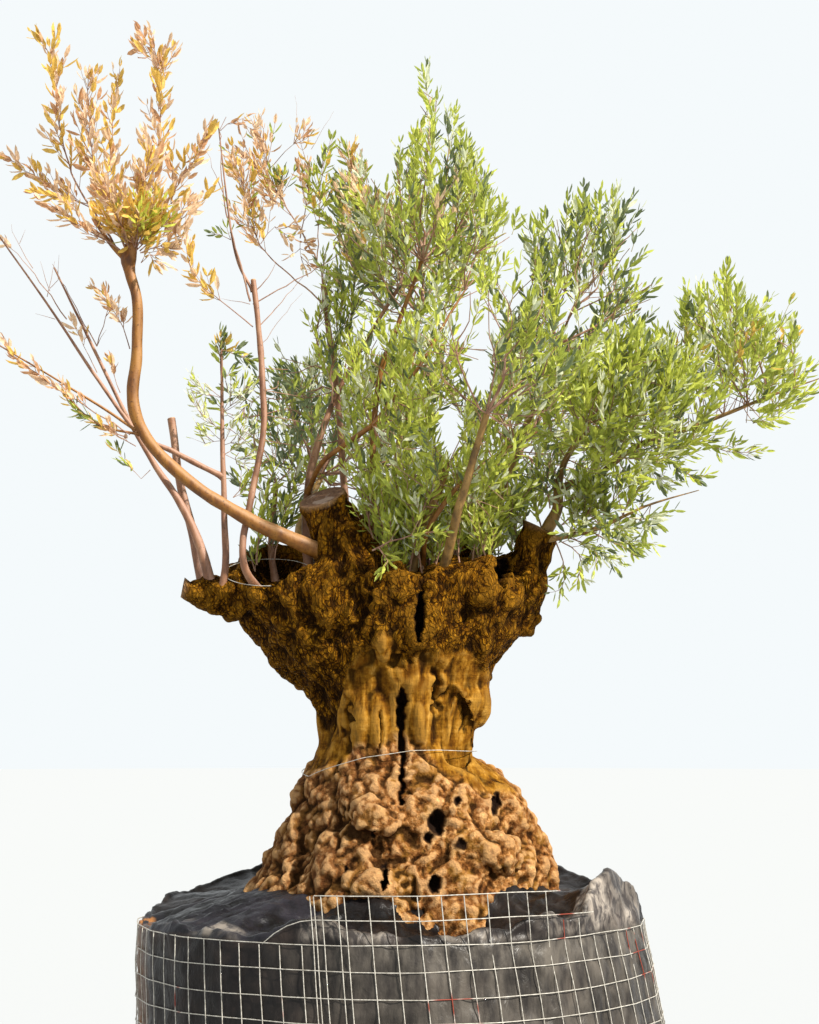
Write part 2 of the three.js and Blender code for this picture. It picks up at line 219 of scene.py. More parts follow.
def domesAt(places, size, seed=0):  # rounded domes, 1 at the top of each and 0 where they meet
    shift = Vector((seed * 4.13, seed * 9.71, seed * -2.39))
    near = np.array([noise.voronoi(Vector(p) / size + shift)[0][0] for p in places])
    return 1 - np.clip(near / 0.85, 0, 1) ** 2


def unit(vectors):
    return vectors / np.maximum(np.linalg.norm(vectors, axis=-1, keepdims=True), 1e-9)


def vectorsOf(rows, key):
    values = np.empty(len(rows) * 3)
    rows.foreach_get(key, values)
    return values.reshape(-1, 3)


def coordinates(mesh):
    return vectorsOf(mesh.vertices, "co")


def normals(mesh):
    return vectorsOf(mesh.vertex_normals, "vector")


def moveTo(mesh, places):
    mesh.vertices.foreach_set("co", places.ravel())
    mesh.update()


def paint(mesh, name, values):
    layer = mesh.attributes.new(name, "FLOAT", "POINT")
    layer.data.foreach_set("value", np.asarray(values, dtype=np.float32))


def depthOfPits(mesh, rounds, depth):  # how far each point lies below its surroundings, as a share of depth
    ends = np.empty(len(mesh.edges) * 2, dtype=np.int32)
    mesh.edges.foreach_get("vertices", ends)
    first, second = ends.reshape(-1, 2).T
    places = coordinates(mesh)
    count = np.bincount(ends, minlength=len(places))[:, None]
    spread = places
    for _ in range(rounds):
        total = np.zeros_like(places)
        for axis in range(3):
            total[:, axis] += np.bincount(first, spread[second, axis], len(places))
            total[:, axis] += np.bincount(second, spread[first, axis], len(places))
        spread = (spread + total / count) / 2
    return ((spread - places) * normals(mesh)).sum(axis=1) / depth


def copyOf(names):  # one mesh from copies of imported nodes, with their doubles merged
    shape = bmesh.new()
    for name in names:
        shape.from_mesh(nodes[name].data)
    bmesh.ops.remove_doubles(shape, verts=shape.verts, dist=1e-5)
    return shape


def meshFrom(name, shape):
    mesh = bpy.data.meshes.new(name)
    shape.to_mesh(mesh)
    shape.free()
    return mesh


def surfaceOf(shape):
    bmesh.ops.triangulate(shape, faces=shape.faces)
    surface = BVHTree.FromBMesh(shape)
    shape.free()
    return surface


def evaluated(data):  # a mesh from a curve, or from a mesh and its modifiers
    holder = data if isinstance(data, bpy.types.Object) else bpy.data.objects.new("holder", data)
    bpy.context.scene.collection.objects.link(holder)
    mesh = bpy.data.meshes.new_from_object(holder.evaluated_get(bpy.context.evaluated_depsgraph_get()))
    bpy.data.objects.remove(holder)
    return mesh


def applied(mesh, *modifiers):
    holder = bpy.data.objects.new("holder", mesh)
    for kind, settings in modifiers:
        modifier = holder.modifiers.new(kind, kind)
        for key, value in settings.items():
            setattr(modifier, key, value)
    return evaluated(holder)


def addPiece(name, mesh, finish, standsFor=(), smooth=True):
    mesh.name = name
    mesh.materials.clear()
    mesh.materials.append(finish.material)
    mesh.polygons.foreach_set("use_smooth", [smooth] * len(mesh.polygons))
    piece = bpy.data.objects.new(name, mesh)
    bpy.context.scene.collection.objects.link(piece)
    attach(piece, "root")
    if standsFor:
        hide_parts(*standsFor)
    return piece


def tubes(paths, roundness=0, closed=False):  # one mesh of tapering tubes, each a row of points and radii
    curve = bpy.data.curves.new("tubes", "CURVE")
    curve.dimensions = "3D"
    curve.bevel_depth = 1
    curve.bevel_resolution = roundness
    curve.use_fill_caps = not closed
    for points, thickness in paths:
        spline = curve.splines.new("POLY")
        spline.points.add(len(points) - 1)
        spline.points.foreach_set("co", np.c_[points, np.ones(len(points))].ravel())
        spline.points.foreach_set("radius", np.broadcast_to(thickness, len(points)).astype(float))
        spline.use_cyclic_u = closed
    return evaluated(curve)


def joined(meshes):
    shape = bmesh.new()
    for mesh in meshes:
        shape.from_mesh(mesh)
    return meshFrom("joined", shape)


def smoothPath(points, step):  # a smooth curve through the points, with a point about every step
    points = np.asarray(points, dtype=float)
    padded = np.vstack([2 * points[0] - points[1], points, 2 * points[-1] - points[-2]])
    pieces = []
    for a, b, c, d in zip(padded, padded[1:], padded[2:], padded[3:]):
        t = np.linspace(0, 1, max(2, int(np.linalg.norm(c[:3] - b[:3]) / step) + 1))[:-1, None]
        bend = 2 * b + (c - a) * t + (2 * a - 5 * b + 4 * c - d) * t**2 + (3 * b - a - 3 * c + d) * t**3
        pieces.append(bend / 2)
    return np.vstack(pieces + [points[-1:]])


def walkedAlong(points):
    return np.r_[0, np.cumsum(np.linalg.norm(np.diff(points, axis=0), axis=1))]


# the old wood: trunk, pollard head and stumps as one skin

oldWood = {
    "roughGrain": 0.010, "grain": 0.0074,  # metres between the skin's points, before and after the swellings
    "rounding": 12, "triangles": 196000, "warp": 0.011, "raggedness": 0.013,
    "burrDepth": 0.034, "creaseDepth": 0.015, "knobDepth": 0.012, "pebbleDepth": 0.007,
    "foldDepth": 0.013, "lumpDepth": 0.024, "flakeDepth": 0.006, "fibreDepth": 0.003,
    # heights where burrs give way to smooth wood, and that to bark, by place across the front
    "burrTop": [(-0.30, 1.47), (-0.14, 1.53), (-0.12, 1.59), (0.06, 1.60), (0.14, 1.56), (0.20, 1.49),
                (0.36, 1.43)],
    "barkFoot": [(-0.24, 1.50), (-0.19, 1.62), (-0.13, 1.84), (-0.11, 1.88), (-0.05, 1.91), (-0.015, 1.97),
                 (0.03, 1.93), (0.06, 1.85), (0.12, 1.88), (0.26, 1.92), (0.33, 1.84), (0.42, 1.72)],
    "burrTopBehind": 1.53, "barkFootBehind": 1.82, "edge": (-0.012, 0.030),
    "cutReach": 0.024, "trimmed": 0.004,  # wood this near a saw cut is flat, and stays this far below it
}

# hollows: middle, half widths along X, Y and Z, and lean of the long axis to the right in degrees
hollows = [
    ((0.050, -0.270, 1.735), (0.019, 0.09, 0.060), 0),  # the crack in the waist, wide at its top
    ((0.046, -0.270, 1.640), (0.013, 0.09, 0.110), -2),
    ((0.050, -0.310, 1.500), (0.010, 0.08, 0.115), 3),
    ((0.110, -0.335, 2.030), (0.017, 0.10, 0.095), 5),  # the dark cleft in the head
    ((0.169, -0.390, 1.344), (0.036, 0.12, 0.046), 8),  # rotted holes in the burrs
    ((0.138, -0.400, 1.290), (0.020, 0.08, 0.024), 40),
    ((0.372, -0.240, 1.411), (0.026, 0.09, 0.050), 5),
    ((0.193, -0.340, 1.470), (0.030, 0.06, 0.011), -35),
    ((0.236, -0.345, 1.414), (0.013, 0.06, 0.026), -10),
    ((-0.049, -0.400, 1.302), (0.014, 0.06, 0.013), 30),
    ((-0.137, -0.430, 1.189), (0.018, 0.06, 0.014), 0),
    ((-0.005, -0.440, 1.184), (0.013, 0.09, 0.062), 2),
    ((0.158, -0.450, 1.143), (0.020, 0.08, 0.030), 10),
    ((0.248, -0.400, 1.269), (0.030, 0.05, 0.020), 20),
    ((-0.410, -0.110, 2.245), (0.150, 0.23, 0.125), 0),  # the bowl of the left lobe
    ((0.400, -0.150, 2.215), (0.034, 0.14, 0.100), 10),
    ((0.020, 0.330, 1.420), (0.045, 0.12, 0.080), 15),
    ((-0.210, 0.300, 1.250), (0.036, 0.10, 0.040), -20),
    ((0.260, 0.300, 1.180), (0.030, 0.10, 0.050), 10),
    ((0.060, 0.240, 1.720), (0.020, 0.09, 0.150), 5),
    ((-0.090, 0.330, 2.080), (0.028, 0.12, 0.110), -8),
]
# swellings: middle and half widths
swellings = [
    ((0.245, -0.030, 1.750), (0.120, 0.15, 0.120)),  # the bulge at the right of the waist
    ((-0.012, -0.265, 1.945), (0.040, 0.07, 0.080)),  # the nose
    ((-0.085, -0.170, 1.690), (0.055, 0.075, 0.170)),
    ((-0.030, -0.180, 1.680), (0.050, 0.075, 0.180)),
    ((0.110, -0.180, 1.700), (0.050, 0.075, 0.190)),
    ((0.220, -0.150, 1.660), (0.050, 0.080, 0.190)),
    ((0.225, -0.080, 1.640), (0.075, 0.120, 0.210)),
    ((0.270, -0.130, 2.130), (0.150, 0.16, 0.11)),
    ((-0.180, -0.225, 2.080), (0.130, 0.070, 0.150)),
    ((0.020, -0.260, 2.110), (0.080, 0.080, 0.110)),
    ((0.488, -0.030, 2.030), (0.050, 0.05, 0.026)),
    ((-0.040, -0.330, 1.350), (0.100, 0.09, 0.070)),
    ((0.330, -0.290, 1.230), (0.120, 0.10, 0.080)),
    ((-0.060, -0.400, 1.130), (0.110, 0.08, 0.080)),
    ((-0.420, 0.110, 2.170), (0.190, 0.08, 0.130)),  # the far rim of the left lobe
    ((-0.140, 0.200, 1.700), (0.060, 0.07, 0.150)),
    ((0.180, 0.190, 1.780), (0.055, 0.07, 0.140)),
]

# shallow valleys: middle, half widths, lean, and depth in metres
valleys = [
    ((0.172, -0.235, 1.760), (0.026, 0.12, 0.150), 2, 0.034),
    ((-0.138, -0.235, 1.660), (0.020, 0.12, 0.130), -2, 0.026),
    ((-0.020, -0.250, 1.640), (0.012, 0.12, 0.110), -3, 0.024),
    ((0.262, -0.200, 1.690), (0.014, 0.14, 0.100), 4, 0.024),
    ((-0.095, -0.350, 2.080), (0.050, 0.20, 0.170), 4, 0.040),
    ((0.125, -0.310, 2.170), (0.050, 0.20, 0.120), 3, 0.040),
    ((0.045, -0.320, 1.885), (0.070, 0.15, 0.035), -20, 0.030),
    ((-0.250, -0.330, 1.990), (0.040, 0.20, 0.120), -30, 0.026),
    ((0.260, -0.330, 2.000), (0.040, 0.20, 0.110), 14, 0.026),
    ((-0.400, -0.300, 2.080), (0.045, 0.20, 0.120), -35, 0.022),
    ((-0.160, -0.370, 1.370), (0.035, 0.20, 0.130), 5, 0.034),
    ((0.050, -0.340, 1.480), (0.040, 0.20, 0.160), 2, 0.028),
    ((-0.300, -0.300, 1.200), (0.045, 0.20, 0.150), 18, 0.030),
    ((0.080, -0.430, 1.120), (0.040, 0.20, 0.120), -8, 0.034),
    ((0.430, -0.220, 1.220), (0.040, 0.20, 0.130), -18, 0.026),
]


def turned(places, lean):  # places turned about Y
    across, height = cos(radians(lean)), sin(radians(lean))
    x, y, z = places.T
    return np.stack([x * across - z * height, y, x * height + z * across], axis=1)


def pushOver(places, middle, half):  # moves the skin out to an ellipsoid that it lies inside
    offset = (places - middle) / half
    reach = np.linalg.norm(offset, axis=1)
    share = np.where(reach < 1, 1 / np.maximum(reach, 0.25), 1)
    return middle + offset * half * share[:, None]


# slides what lies in a hollow along inward to its far wall
def sinkInto(places, ragged, middle, half, lean, inward):
    offset = turned(ragged - middle, lean) / half
    direction = turned(inward[None], lean)[0] / half
    a, b, c = direction @ direction, offset @ direction, (offset**2).sum(axis=1) - 1
    slide = np.where(c < 0, (-b + np.sqrt(np.maximum(b * b - a * c, 0))) / a, 0)
    return places + slide[:, None] * inward, c < 0


def woodZones(places):  # shares of burr and of bark at each place; the rest is smooth wood
    x, y, z = places.T
    front = smoothstep(0.05, -0.12, y)
    drift = 0.05 * noiseAt(places, 0.15, 5) + 0.035 * noiseAt(places, 0.05, 12)
    burrTop = np.interp(x, *zip(*oldWood["burrTop"])) * front + oldWood["burrTopBehind"] * (1 - front)
    barkFoot = np.interp(x, *zip(*oldWood["barkFoot"])) * front + oldWood["barkFootBehind"] * (1 - front)
    burr = 1 - smoothstep(*oldWood["edge"], z - burrTop + 0.6 * drift)
    return burr, smoothstep(*oldWood["edge"], z - barkFoot + 0.6 * drift) * (1 - burr)


def woodRelief(places, burr, bark):  # metres that each place stands out
    wood = oldWood
    warp = noisesAt(places, 0.09, (21, 22, 23))
    fine = noiseAt(places, 0.022, 24)
    # burrs: big lumps parted by creases, with knobs and pebbles on them
    knobs = domesAt(places + 0.03 * warp, 0.060, 2) - 0.5 + 0.8 * noiseAt(places, 0.045, 7)
    burrShape = wood["burrDepth"] * (domesAt(places + 0.06 * warp, 0.150, 1) - 0.6)
    burrShape += wood["knobDepth"] * knobs
    burrShape -= wood["creaseDepth"] * creasesAt(places * (1, 1, 0.7) + 0.02 * warp, 0.13, 14)
    burrShape += wood["pebbleDepth"] * (domesAt(places + 0.01 * warp, 0.027, 3) - 0.4 + 0.5 * fine)
    # smooth wood: upright folds with fine fibres
    plainShape = wood["foldDepth"] * noiseAt(places * (1, 1, 0.35) + 0.02 * warp, 0.075, 8)
    plainShape -= wood["foldDepth"] * 0.5 * creasesAt(places * (1, 1, 0.25) + 0.02 * warp, 0.11, 15)
    plainShape += wood["fibreDepth"] * noiseAt(places * (1, 1, 0.3), 0.022, 6)
    # bark: broad lumps and folds, covered with flakes
    flakes = domesAt(places * (1, 1, 0.5) + 0.008 * warp, 0.024, 4) - 0.4 + 0.4 * fine
    barkShape = wood["lumpDepth"] * noiseAt(places * (1, 1, 0.75) + 0.03 * warp, 0.12, 10)
    barkShape += wood["lumpDepth"] * 0.45 * noiseAt(places * (1, 1, 0.7), 0.05, 11)
    barkShape -= wood["foldDepth"] * creasesAt(places * (1, 1, 0.4) + 0.03 * warp, 0.13, 9)
    barkShape += wood["flakeDepth"] * flakes
    return burr * burrShape + (1 - burr) * (1 - bark) * plainShape + bark * barkShape


def sawCuts(places):  # facing of each cut, distance past its plane, and distance from its middle in radii
    for middle, facing, radius in stumps.values():
        facing = unit(np.array(facing))
        off = (places - middle) @ facing
        yield facing, off, np.linalg.norm(places - middle - off[:, None] * facing, axis=1) / radius


def makeOldWood():
    wood = oldWood
    rough = applied(
        meshFrom("rough", copyOf(["trunk", *stumps])),
        ("REMESH", {"mode": "VOXEL", "voxel_size": wood["roughGrain"]}),
        ("SMOOTH", {"factor": 0.6, "iterations": wood["rounding"]}),
    )
    places = coordinates(rough)
    places += noisesAt(places, 0.06, (1, 2, 3)) * wood["warp"]
    for middle, half in swellings:
        places = pushOver(places, np.array(middle), np.array(half))
    moveTo(rough, places)
    remesh = ("REMESH", {"mode": "VOXEL", "voxel_size": wood["grain"]})
    skin = applied(rough, remesh, ("SMOOTH", {"iterations": 2}))
    places, outward = coordinates(skin), normals(skin)
    burr, bark = woodZones(places)
    shape = woodRelief(places, burr, bark)
    sawn, reach, holes = np.zeros(len(places)), np.zeros(len(places)), np.zeros(len(places))
    for facing, off, aside in sawCuts(places):
        flat = (np.abs(off) < wood["cutReach"]) * (1 - smoothstep(0.90, 0.99, aside))
        places -= (flat * off)[:, None] * facing
        sawn, reach = np.maximum(sawn, flat), np.where(flat > 0, aside, reach)
    shape *= (1 - 0.95 * sawn) * smoothstep(soilLevel - 0.01, soilLevel + 0.03, places[:, 2])
    places += outward * shape[:, None]
    for facing, off, aside in sawCuts(places):  # nothing stands up past a saw cut
        past = np.clip(off + wood["trimmed"], 0, 0.05) * (aside < 1.35) * (off < 0.05) * (sawn == 0)
        places -= past[:, None] * facing
    rough = wood["raggedness"] * noisesAt(places, 0.030, (31, 32, 33))
    for middle, half, lean, depth in valleys:
        reachOut = np.linalg.norm(turned(places + 2 * rough - middle, lean) / half, axis=1)
        places -= outward * (depth * (1 - np.clip(reachOut, 0, 1) ** 2) ** 2)[:, None]
    ragged = places + rough
    for middle, half, lean in hollows:
        bowl = half[1] > 0.2  # it opens upwards, and the others to the front or back
        inward = np.array((0.2, 0.3, -1.0) if bowl else (-middle[0] * 0.5, -np.sign(middle[1]), 0))
        places, inside = sinkInto(places, ragged, np.array(middle), np.array(half), lean, inward)
        holes = np.maximum(holes, inside * (not bowl))
    moveTo(skin, places)
    for name, values in {"burr": burr, "bark": bark, "sawn": sawn, "reach": reach, "hole": holes}.items():
        paint(skin, name, values)
    count = sum(len(face.vertices) - 2 for face in skin.polygons)
    skin = applied(skin, ("DECIMATE", {"ratio": min(1, wood["triangles"] / count)}))
    small, large = depthOfPits(skin, 4, 0.0022), depthOfPits(skin, 40, 0.011)
    pits = 0.5 * np.clip(small, -1, 1) + 0.5 * np.clip(large, -1, 1)
    paint(skin, "pit", 0.5 + 0.5 * pits)
    return skin


def finishOldWood():
    finish = Finish("oldWood", Specular_IOR_Level=0.04)
    burr, bark, sawn = (finish.attribute(name) for name in ("burr", "bark", "sawn"))
    pit, reach, hole = (finish.attribute(name) for name in ("pit", "reach", "hole"))
    fine = finish.noise(80, 5, 0.65)
    spots = finish.noise(30, 4, 0.6)
    broad = finish.noise(6, 3)
    patch = finish.noise(13, 3, 0.6)
    grit = finish.noise(150, 3, 0.6)
    pebbles = 1 - finish.cells(46) * 1.2
    flakes = finish.noise(70, 5, 0.7, finish.stretched((1, 1, 0.42)), 1.5)
    upright = finish.noise(46, 5, 0.6, finish.stretched((1, 1, 0.14)), 0.4)
    swirl = finish.node("TexNoise", {}, {"Vector": finish.place, "Scale": 9.0, "Detail": 3.0}, "Color")
    bent = {0: swirl, 1: (0.10, 0.10, 0.10), 2: finish.stretched((1, 1, 0.42))}
    bent = finish.node("VectorMath", {"operation": "MULTIPLY_ADD"}, bent)
    scales = finish.cells(64, "DISTANCE_TO_EDGE", bent).fade(0.02, 0.18)
    ledges = finish.noise(26, 3, 0.6, finish.stretched((0.25, 0.25, 1.6)))
    burrTone = fine * 0.45 + spots * 0.35 + grit * 0.12 + pebbles * 0.08
    burrColour = finish.ramp(burrTone, (0.38, (0.050, 0.015, 0.003)), (0.46, (0.15, 0.054, 0.012)),
                             (0.54, (0.33, 0.145, 0.042)), (0.64, (0.66, 0.38, 0.16)))
    ochre = finish.mix(fine, (0.12, 0.045, 0.006), (0.34, 0.17, 0.03))
    burrColour = finish.mix(patch.fade(0.50, 0.62, 0, 0.7), burrColour, ochre)
    burrColour = finish.mix(broad.fade(0.54, 0.66, 0, 0.55), burrColour, (0.14, 0.052, 0.018))
    # painted shade: the burrs grow darker towards the left, the side away from the sun
    fromLeft = finish.node("SeparateXYZ", {}, {0: finish.place}) + (broad - 0.5) * 0.6
    burrColour = finish.mix(fromLeft.fade(0.14, -0.20, 0, 0.5), burrColour, (0.10, 0.040, 0.015))
    plainTone = upright * 0.5 + fine * 0.25 + ledges * 0.25
    plainColour = finish.ramp(plainTone, (0.38, (0.040, 0.012, 0.001)), (0.46, (0.14, 0.054, 0.004)),
                              (0.54, (0.26, 0.115, 0.010)), (0.66, (0.44, 0.24, 0.050)))
    plainColour = finish.mix(patch.fade(0.52, 0.64, 0, 0.7), plainColour, (0.11, 0.038, 0.003))
    barkTone = flakes * 0.65 + grit * 0.2 + spots * 0.15 + (scales - 0.7) * 0.06
    barkColour = finish.ramp(barkTone, (0.40, (0.027, 0.009, 0.0004)), (0.48, (0.092, 0.032, 0.001)),
                             (0.54, (0.175, 0.070, 0.002)), (0.62, (0.39, 0.185, 0.012)))
    darker = finish.mix(0.5, barkColour, (0.01, 0.004, 0.001))
    barkColour = finish.mix(patch.fade(0.48, 0.62, 0, 0.8), barkColour, darker)
    barkColour = finish.mix((1 - scales) * 0.45, barkColour, (0.012, 0.005, 0.001))
    rings = finish.node("Math", {"operation": "FRACT"}, {0: reach * 5.5 + spots * 0.8})
    sawnColour = finish.mix(rings * 0.3 + fine * 0.7, (0.050, 0.025, 0.015), (0.25, 0.150, 0.100))
    sawnColour = finish.mix(patch.fade(0.54, 0.64, 0, 0.8), sawnColour, (0.34, 0.26, 0.21))
    sawnColour = finish.mix(reach.fade(0.80, 0.90, 0, 0.7), sawnColour, (0.30, 0.18, 0.09))
    colour = finish.mix(bark, finish.mix(burr, plainColour, burrColour), barkColour)
    colour = finish.mix(sawn, colour, sawnColour)
    shade = pit.fade(0.44, 0.86) * (1 - sawn * 0.8)
    colour = finish.mix(shade * 0.86, colour, (0.010, 0.004, 0.001))
    # ridges are lighter by zone: a painted highlight on what stands out, with some wear
    ridge = pit.fade(0.48, 0.14)
    ridgeWearAndHighlight = finish.mix(bark, finish.mix(burr, (0.42, 0.23, 0.045), (0.78, 0.48, 0.22)), (0.30, 0.14, 0.012))
    colour = finish.mix(ridge * 0.34 * (1 - sawn), colour, ridgeWearAndHighlight)
    # painted shade: the wood sunk into the holes is nearly black
    colour = finish.mix(hole * 0.8, colour, (0.006, 0.004, 0.004))
    finish.feed(Base_Color=colour, Roughness=0.70 + fine * 0.3)
    grain = (fine * 0.7 + pebbles * 0.2 + grit * 0.2) * burr
    grain = grain + (flakes * 0.6 + scales * 0.45 + grit * 0.2) * bark
    grain = grain + (upright * 0.6 + ledges * 0.3) * (1 - burr) * (1 - bark)
    finish.relief(grain * (1 - sawn * 0.8), 0.014, 1.0)
    return finish


# limbs by kind of bark: points on each bough's middle line from root to tip, each with the radius there

limbs = {
    "arm": {
        "arm": [(-0.16, -0.15, 2.235, 0.034), (-0.3, -0.205, 2.282, 0.028), (-0.468, -0.26, 2.354, 0.024),
            (-0.636, -0.3, 2.459, 0.0215), (-0.769, -0.332, 2.568, 0.0205), (-0.838, -0.341, 2.668, 0.021),
            (-0.862, -0.345, 2.79, 0.02), (-0.848, -0.345, 2.928, 0.019), (-0.852, -0.34, 3.102, 0.018),
            (-0.876, -0.334, 3.2, 0.02), (-0.882, -0.333, 3.25, 0.027), (-0.874, -0.332, 3.3, 0.02),
            (-0.871, -0.331, 3.37, 0.013)],
        "fork": [(-0.88, -0.333, 3.215, 0.014), (-0.899, -0.335, 3.248, 0.011),
            (-0.93, -0.335, 3.279, 0.009), (-0.961, -0.335, 3.317, 0.0075), (-0.996, -0.335, 3.373, 0.0065),
            (-1.018, -0.335, 3.428, 0.005)],
        "low_shoot": [(-0.852, -0.341, 2.655, 0.0055), (-1.007, -0.342, 2.758, 0.0042),
            (-1.335, -0.35, 2.955, 0.0022)],
        "low_side_shoot": [(-0.84, -0.341, 2.64, 0.0048), (-0.985, -0.33, 2.678, 0.0035),
            (-1.1, -0.325, 2.785, 0.0022)],
        "red_bough": [(-0.045, -0.05, 2.21, 0.016), (-0.058, -0.06, 2.5, 0.0125),
            (-0.036, -0.065, 2.853, 0.01), (0.025, -0.06, 3.04, 0.009), (0.12, -0.04, 3.3, 0.0062)],
        "diagonal_bough": [(-0.285, 0, 2.48, 0.01), (-0.23, -0.12, 2.57, 0.0095),
            (-0.165, -0.19, 2.615, 0.009), (-0.054, -0.2, 2.692, 0.0085), (0.015, -0.2, 2.779, 0.008),
            (0.11, -0.18, 2.9, 0.0065), (0.2, -0.15, 3.06, 0.005), (0.27, -0.12, 3.18, 0.003)],
        "golden_bough": [(0.12, -0.1, 2.2, 0.01), (0.14, -0.2, 2.33, 0.009), (0.235, -0.22, 2.47, 0.0085),
            (0.36, -0.18, 2.58, 0.006), (0.52, -0.12, 2.68, 0.004)],
    },
    "young": {
        "stub_bough": [(-0.64, -0.06, 2.12, 0.019), (-0.69, -0.005, 2.33, 0.0165),
            (-0.735, 0.012, 2.5, 0.0145), (-0.772, 0.03, 2.745, 0.0135)],
        "bare_bough": [(-0.606, -0.11, 2.125, 0.02), (-0.69, -0.095, 2.37, 0.015),
            (-0.816, -0.09, 2.567, 0.0105), (-0.918, -0.1, 2.745, 0.0075), (-1.175, -0.11, 3.262, 0.003)],
        "upright_bough": [(-0.574, -0.14, 2.11, 0.015), (-0.56, -0.15, 2.24, 0.0125),
            (-0.573, -0.13, 2.544, 0.0095), (-0.586, -0.09, 2.995, 0.0035)],
        "crossing_bough": [(-0.574, -0.128, 2.52, 0.0105), (-0.735, -0.17, 2.598, 0.0095),
            (-0.86, -0.185, 2.665, 0.008), (-1.01, -0.185, 2.86, 0.006), (-1.15, -0.185, 3.069, 0.0042),
            (-1.368, -0.19, 3.375, 0.0025)],
        "hooked_bough": [(-0.436, -0.135, 2.11, 0.016), (-0.485, -0.232, 2.19, 0.0135),
            (-0.492, -0.243, 2.28, 0.012), (-0.48, -0.225, 2.378, 0.0118), (-0.434, -0.195, 2.64, 0.0112),
            (-0.432, -0.185, 2.815, 0.0108), (-0.45, -0.176, 3.05, 0.0098), (-0.47, -0.17, 3.205, 0.0092)],
        "leader_twig": [(-0.472, -0.17, 3.165, 0.0055), (-0.54, -0.16, 3.33, 0.004),
            (-0.6, -0.15, 3.775, 0.002)],
        "rear_bough": [(-0.28, 0.02, 2.18, 0.02), (-0.285, 0.02, 2.471, 0.0165),
            (-0.255, 0.03, 2.64, 0.0135), (-0.16, 0.05, 2.89, 0.0085), (0.03, 0.04, 3.21, 0.0065)],
        "pink_bough": [(-0.14, 0.13, 2.18, 0.015), (-0.172, 0.125, 2.681, 0.012),
            (-0.187, 0.12, 2.859, 0.011), (-0.236, 0.1, 3.24, 0.0105)],
        "inner_left_bough": [(-0.4, 0.08, 2.15, 0.014), (-0.42, 0.095, 2.32, 0.011),
            (-0.4, 0.08, 2.52, 0.008)],
    },
    "inner": {
        "centre_bough": [(0.08, -0.09, 2.19, 0.019), (0.14, -0.15, 2.38, 0.015),
            (0.21, -0.18, 2.56, 0.011)],
        "front_bough": [(0.18, -0.175, 2.15, 0.019), (0.24, -0.34, 2.38, 0.015), (0.33, -0.5, 2.69, 0.01)],
        "upper_right_bough": [(0.285, 0.07, 2.2, 0.02), (0.42, 0.08, 2.54, 0.015),
            (0.61, 0.06, 3.02, 0.01)],
        "limb_leader": [(0.515, 0.006, 2.27, 0.024), (0.585, 0.006, 2.39, 0.021), (0.6, 0.005, 2.44, 0.019),
            (0.598, 0.004, 2.525, 0.015)],
        "long_right_bough": [(0.596, 0.004, 2.48, 0.014), (0.65, 0.004, 2.512, 0.013),
            (0.715, 0.004, 2.518, 0.012), (0.786, 0.002, 2.572, 0.011), (0.892, 0, 2.65, 0.01),
            (1.105, 0, 2.722, 0.008), (1.355, 0, 2.822, 0.005), (1.53, 0, 2.885, 0.002)],
        "right_bough": [(0.598, 0, 2.495, 0.013), (0.625, -0.07, 2.59, 0.011), (0.69, -0.13, 2.69, 0.009)],
        "low_right_bough": [(0.51, 0, 2.3, 0.012), (0.64, -0.05, 2.322, 0.01), (0.743, -0.08, 2.35, 0.008),
            (0.82, -0.08, 2.385, 0.006), (0.92, -0.07, 2.43, 0.004), (1.09, -0.06, 2.48, 0.0015)],
        "rear_left_bough": [(-0.305, 0.262, 2.21, 0.021), (-0.335, 0.4, 2.39, 0.016),
            (-0.26, 0.56, 2.6, 0.011)],
        "rear_right_bough": [(0.315, 0.31, 2.36, 0.022), (0.38, 0.43, 2.53, 0.016),
            (0.44, 0.56, 2.7, 0.011)],
        "rear_top_bough": [(0.04, 0.29, 2.17, 0.021), (0.02, 0.42, 2.52, 0.016), (0.06, 0.48, 2.86, 0.012),
            (0.11, 0.47, 3.21, 0.009)],
    },
}
boughs = {name: line for kind in limbs.values() for name, line in kind.items()}
boughNodes = {  # nodes of the boughs that aren't named as their one node is
    "arm": ["arm_low", "arm_high"], "crossing_bough": ["crossing_bough", "crossing_twig"],
    "fork": [], "diagonal_bough": [], "golden_bough": [],
}
youngWood = {"step": 0.014, "collar": 0.5, "collarLength": 3.5, "knots": 0.10, "sway": 0.30}


def makeLimbs(chosen):
    paths = []
    for seed, bough in enumerate(chosen):
        line = smoothPath(bough, youngWood["step"])
        points, thickness = line[:, :3], line[:, 3]
        walked = walkedAlong(points)
        where = np.c_[walked, walked * 0, walked * 0]
        collar = np.clip(1 - walked / (youngWood["collarLength"] * thickness[0]), 0, 1) ** 2
        knots = noiseAt(where, 0.05, seed + 20) + 1.6 * np.clip(noiseAt(where, 0.11, seed + 60) - 0.28, 0, 1)
        thickness = thickness * (1 + youngWood["collar"] * collar + youngWood["knots"] * knots)
        sway = noisesAt(where, 0.16, (seed + 140, seed + 180, seed + 220))
        free = np.clip(walked / 0.1, 0, 1)[:, None]
        paths.append((points + sway * free * youngWood["sway"] * thickness[:, None], thickness))
    mesh = tubes(paths, roundness=4)
    # how far each side faces up and towards the sun, for a painted highlight
    paint(mesh, "top", normals(mesh) @ (0.45, -0.35, 0.82))
    return mesh


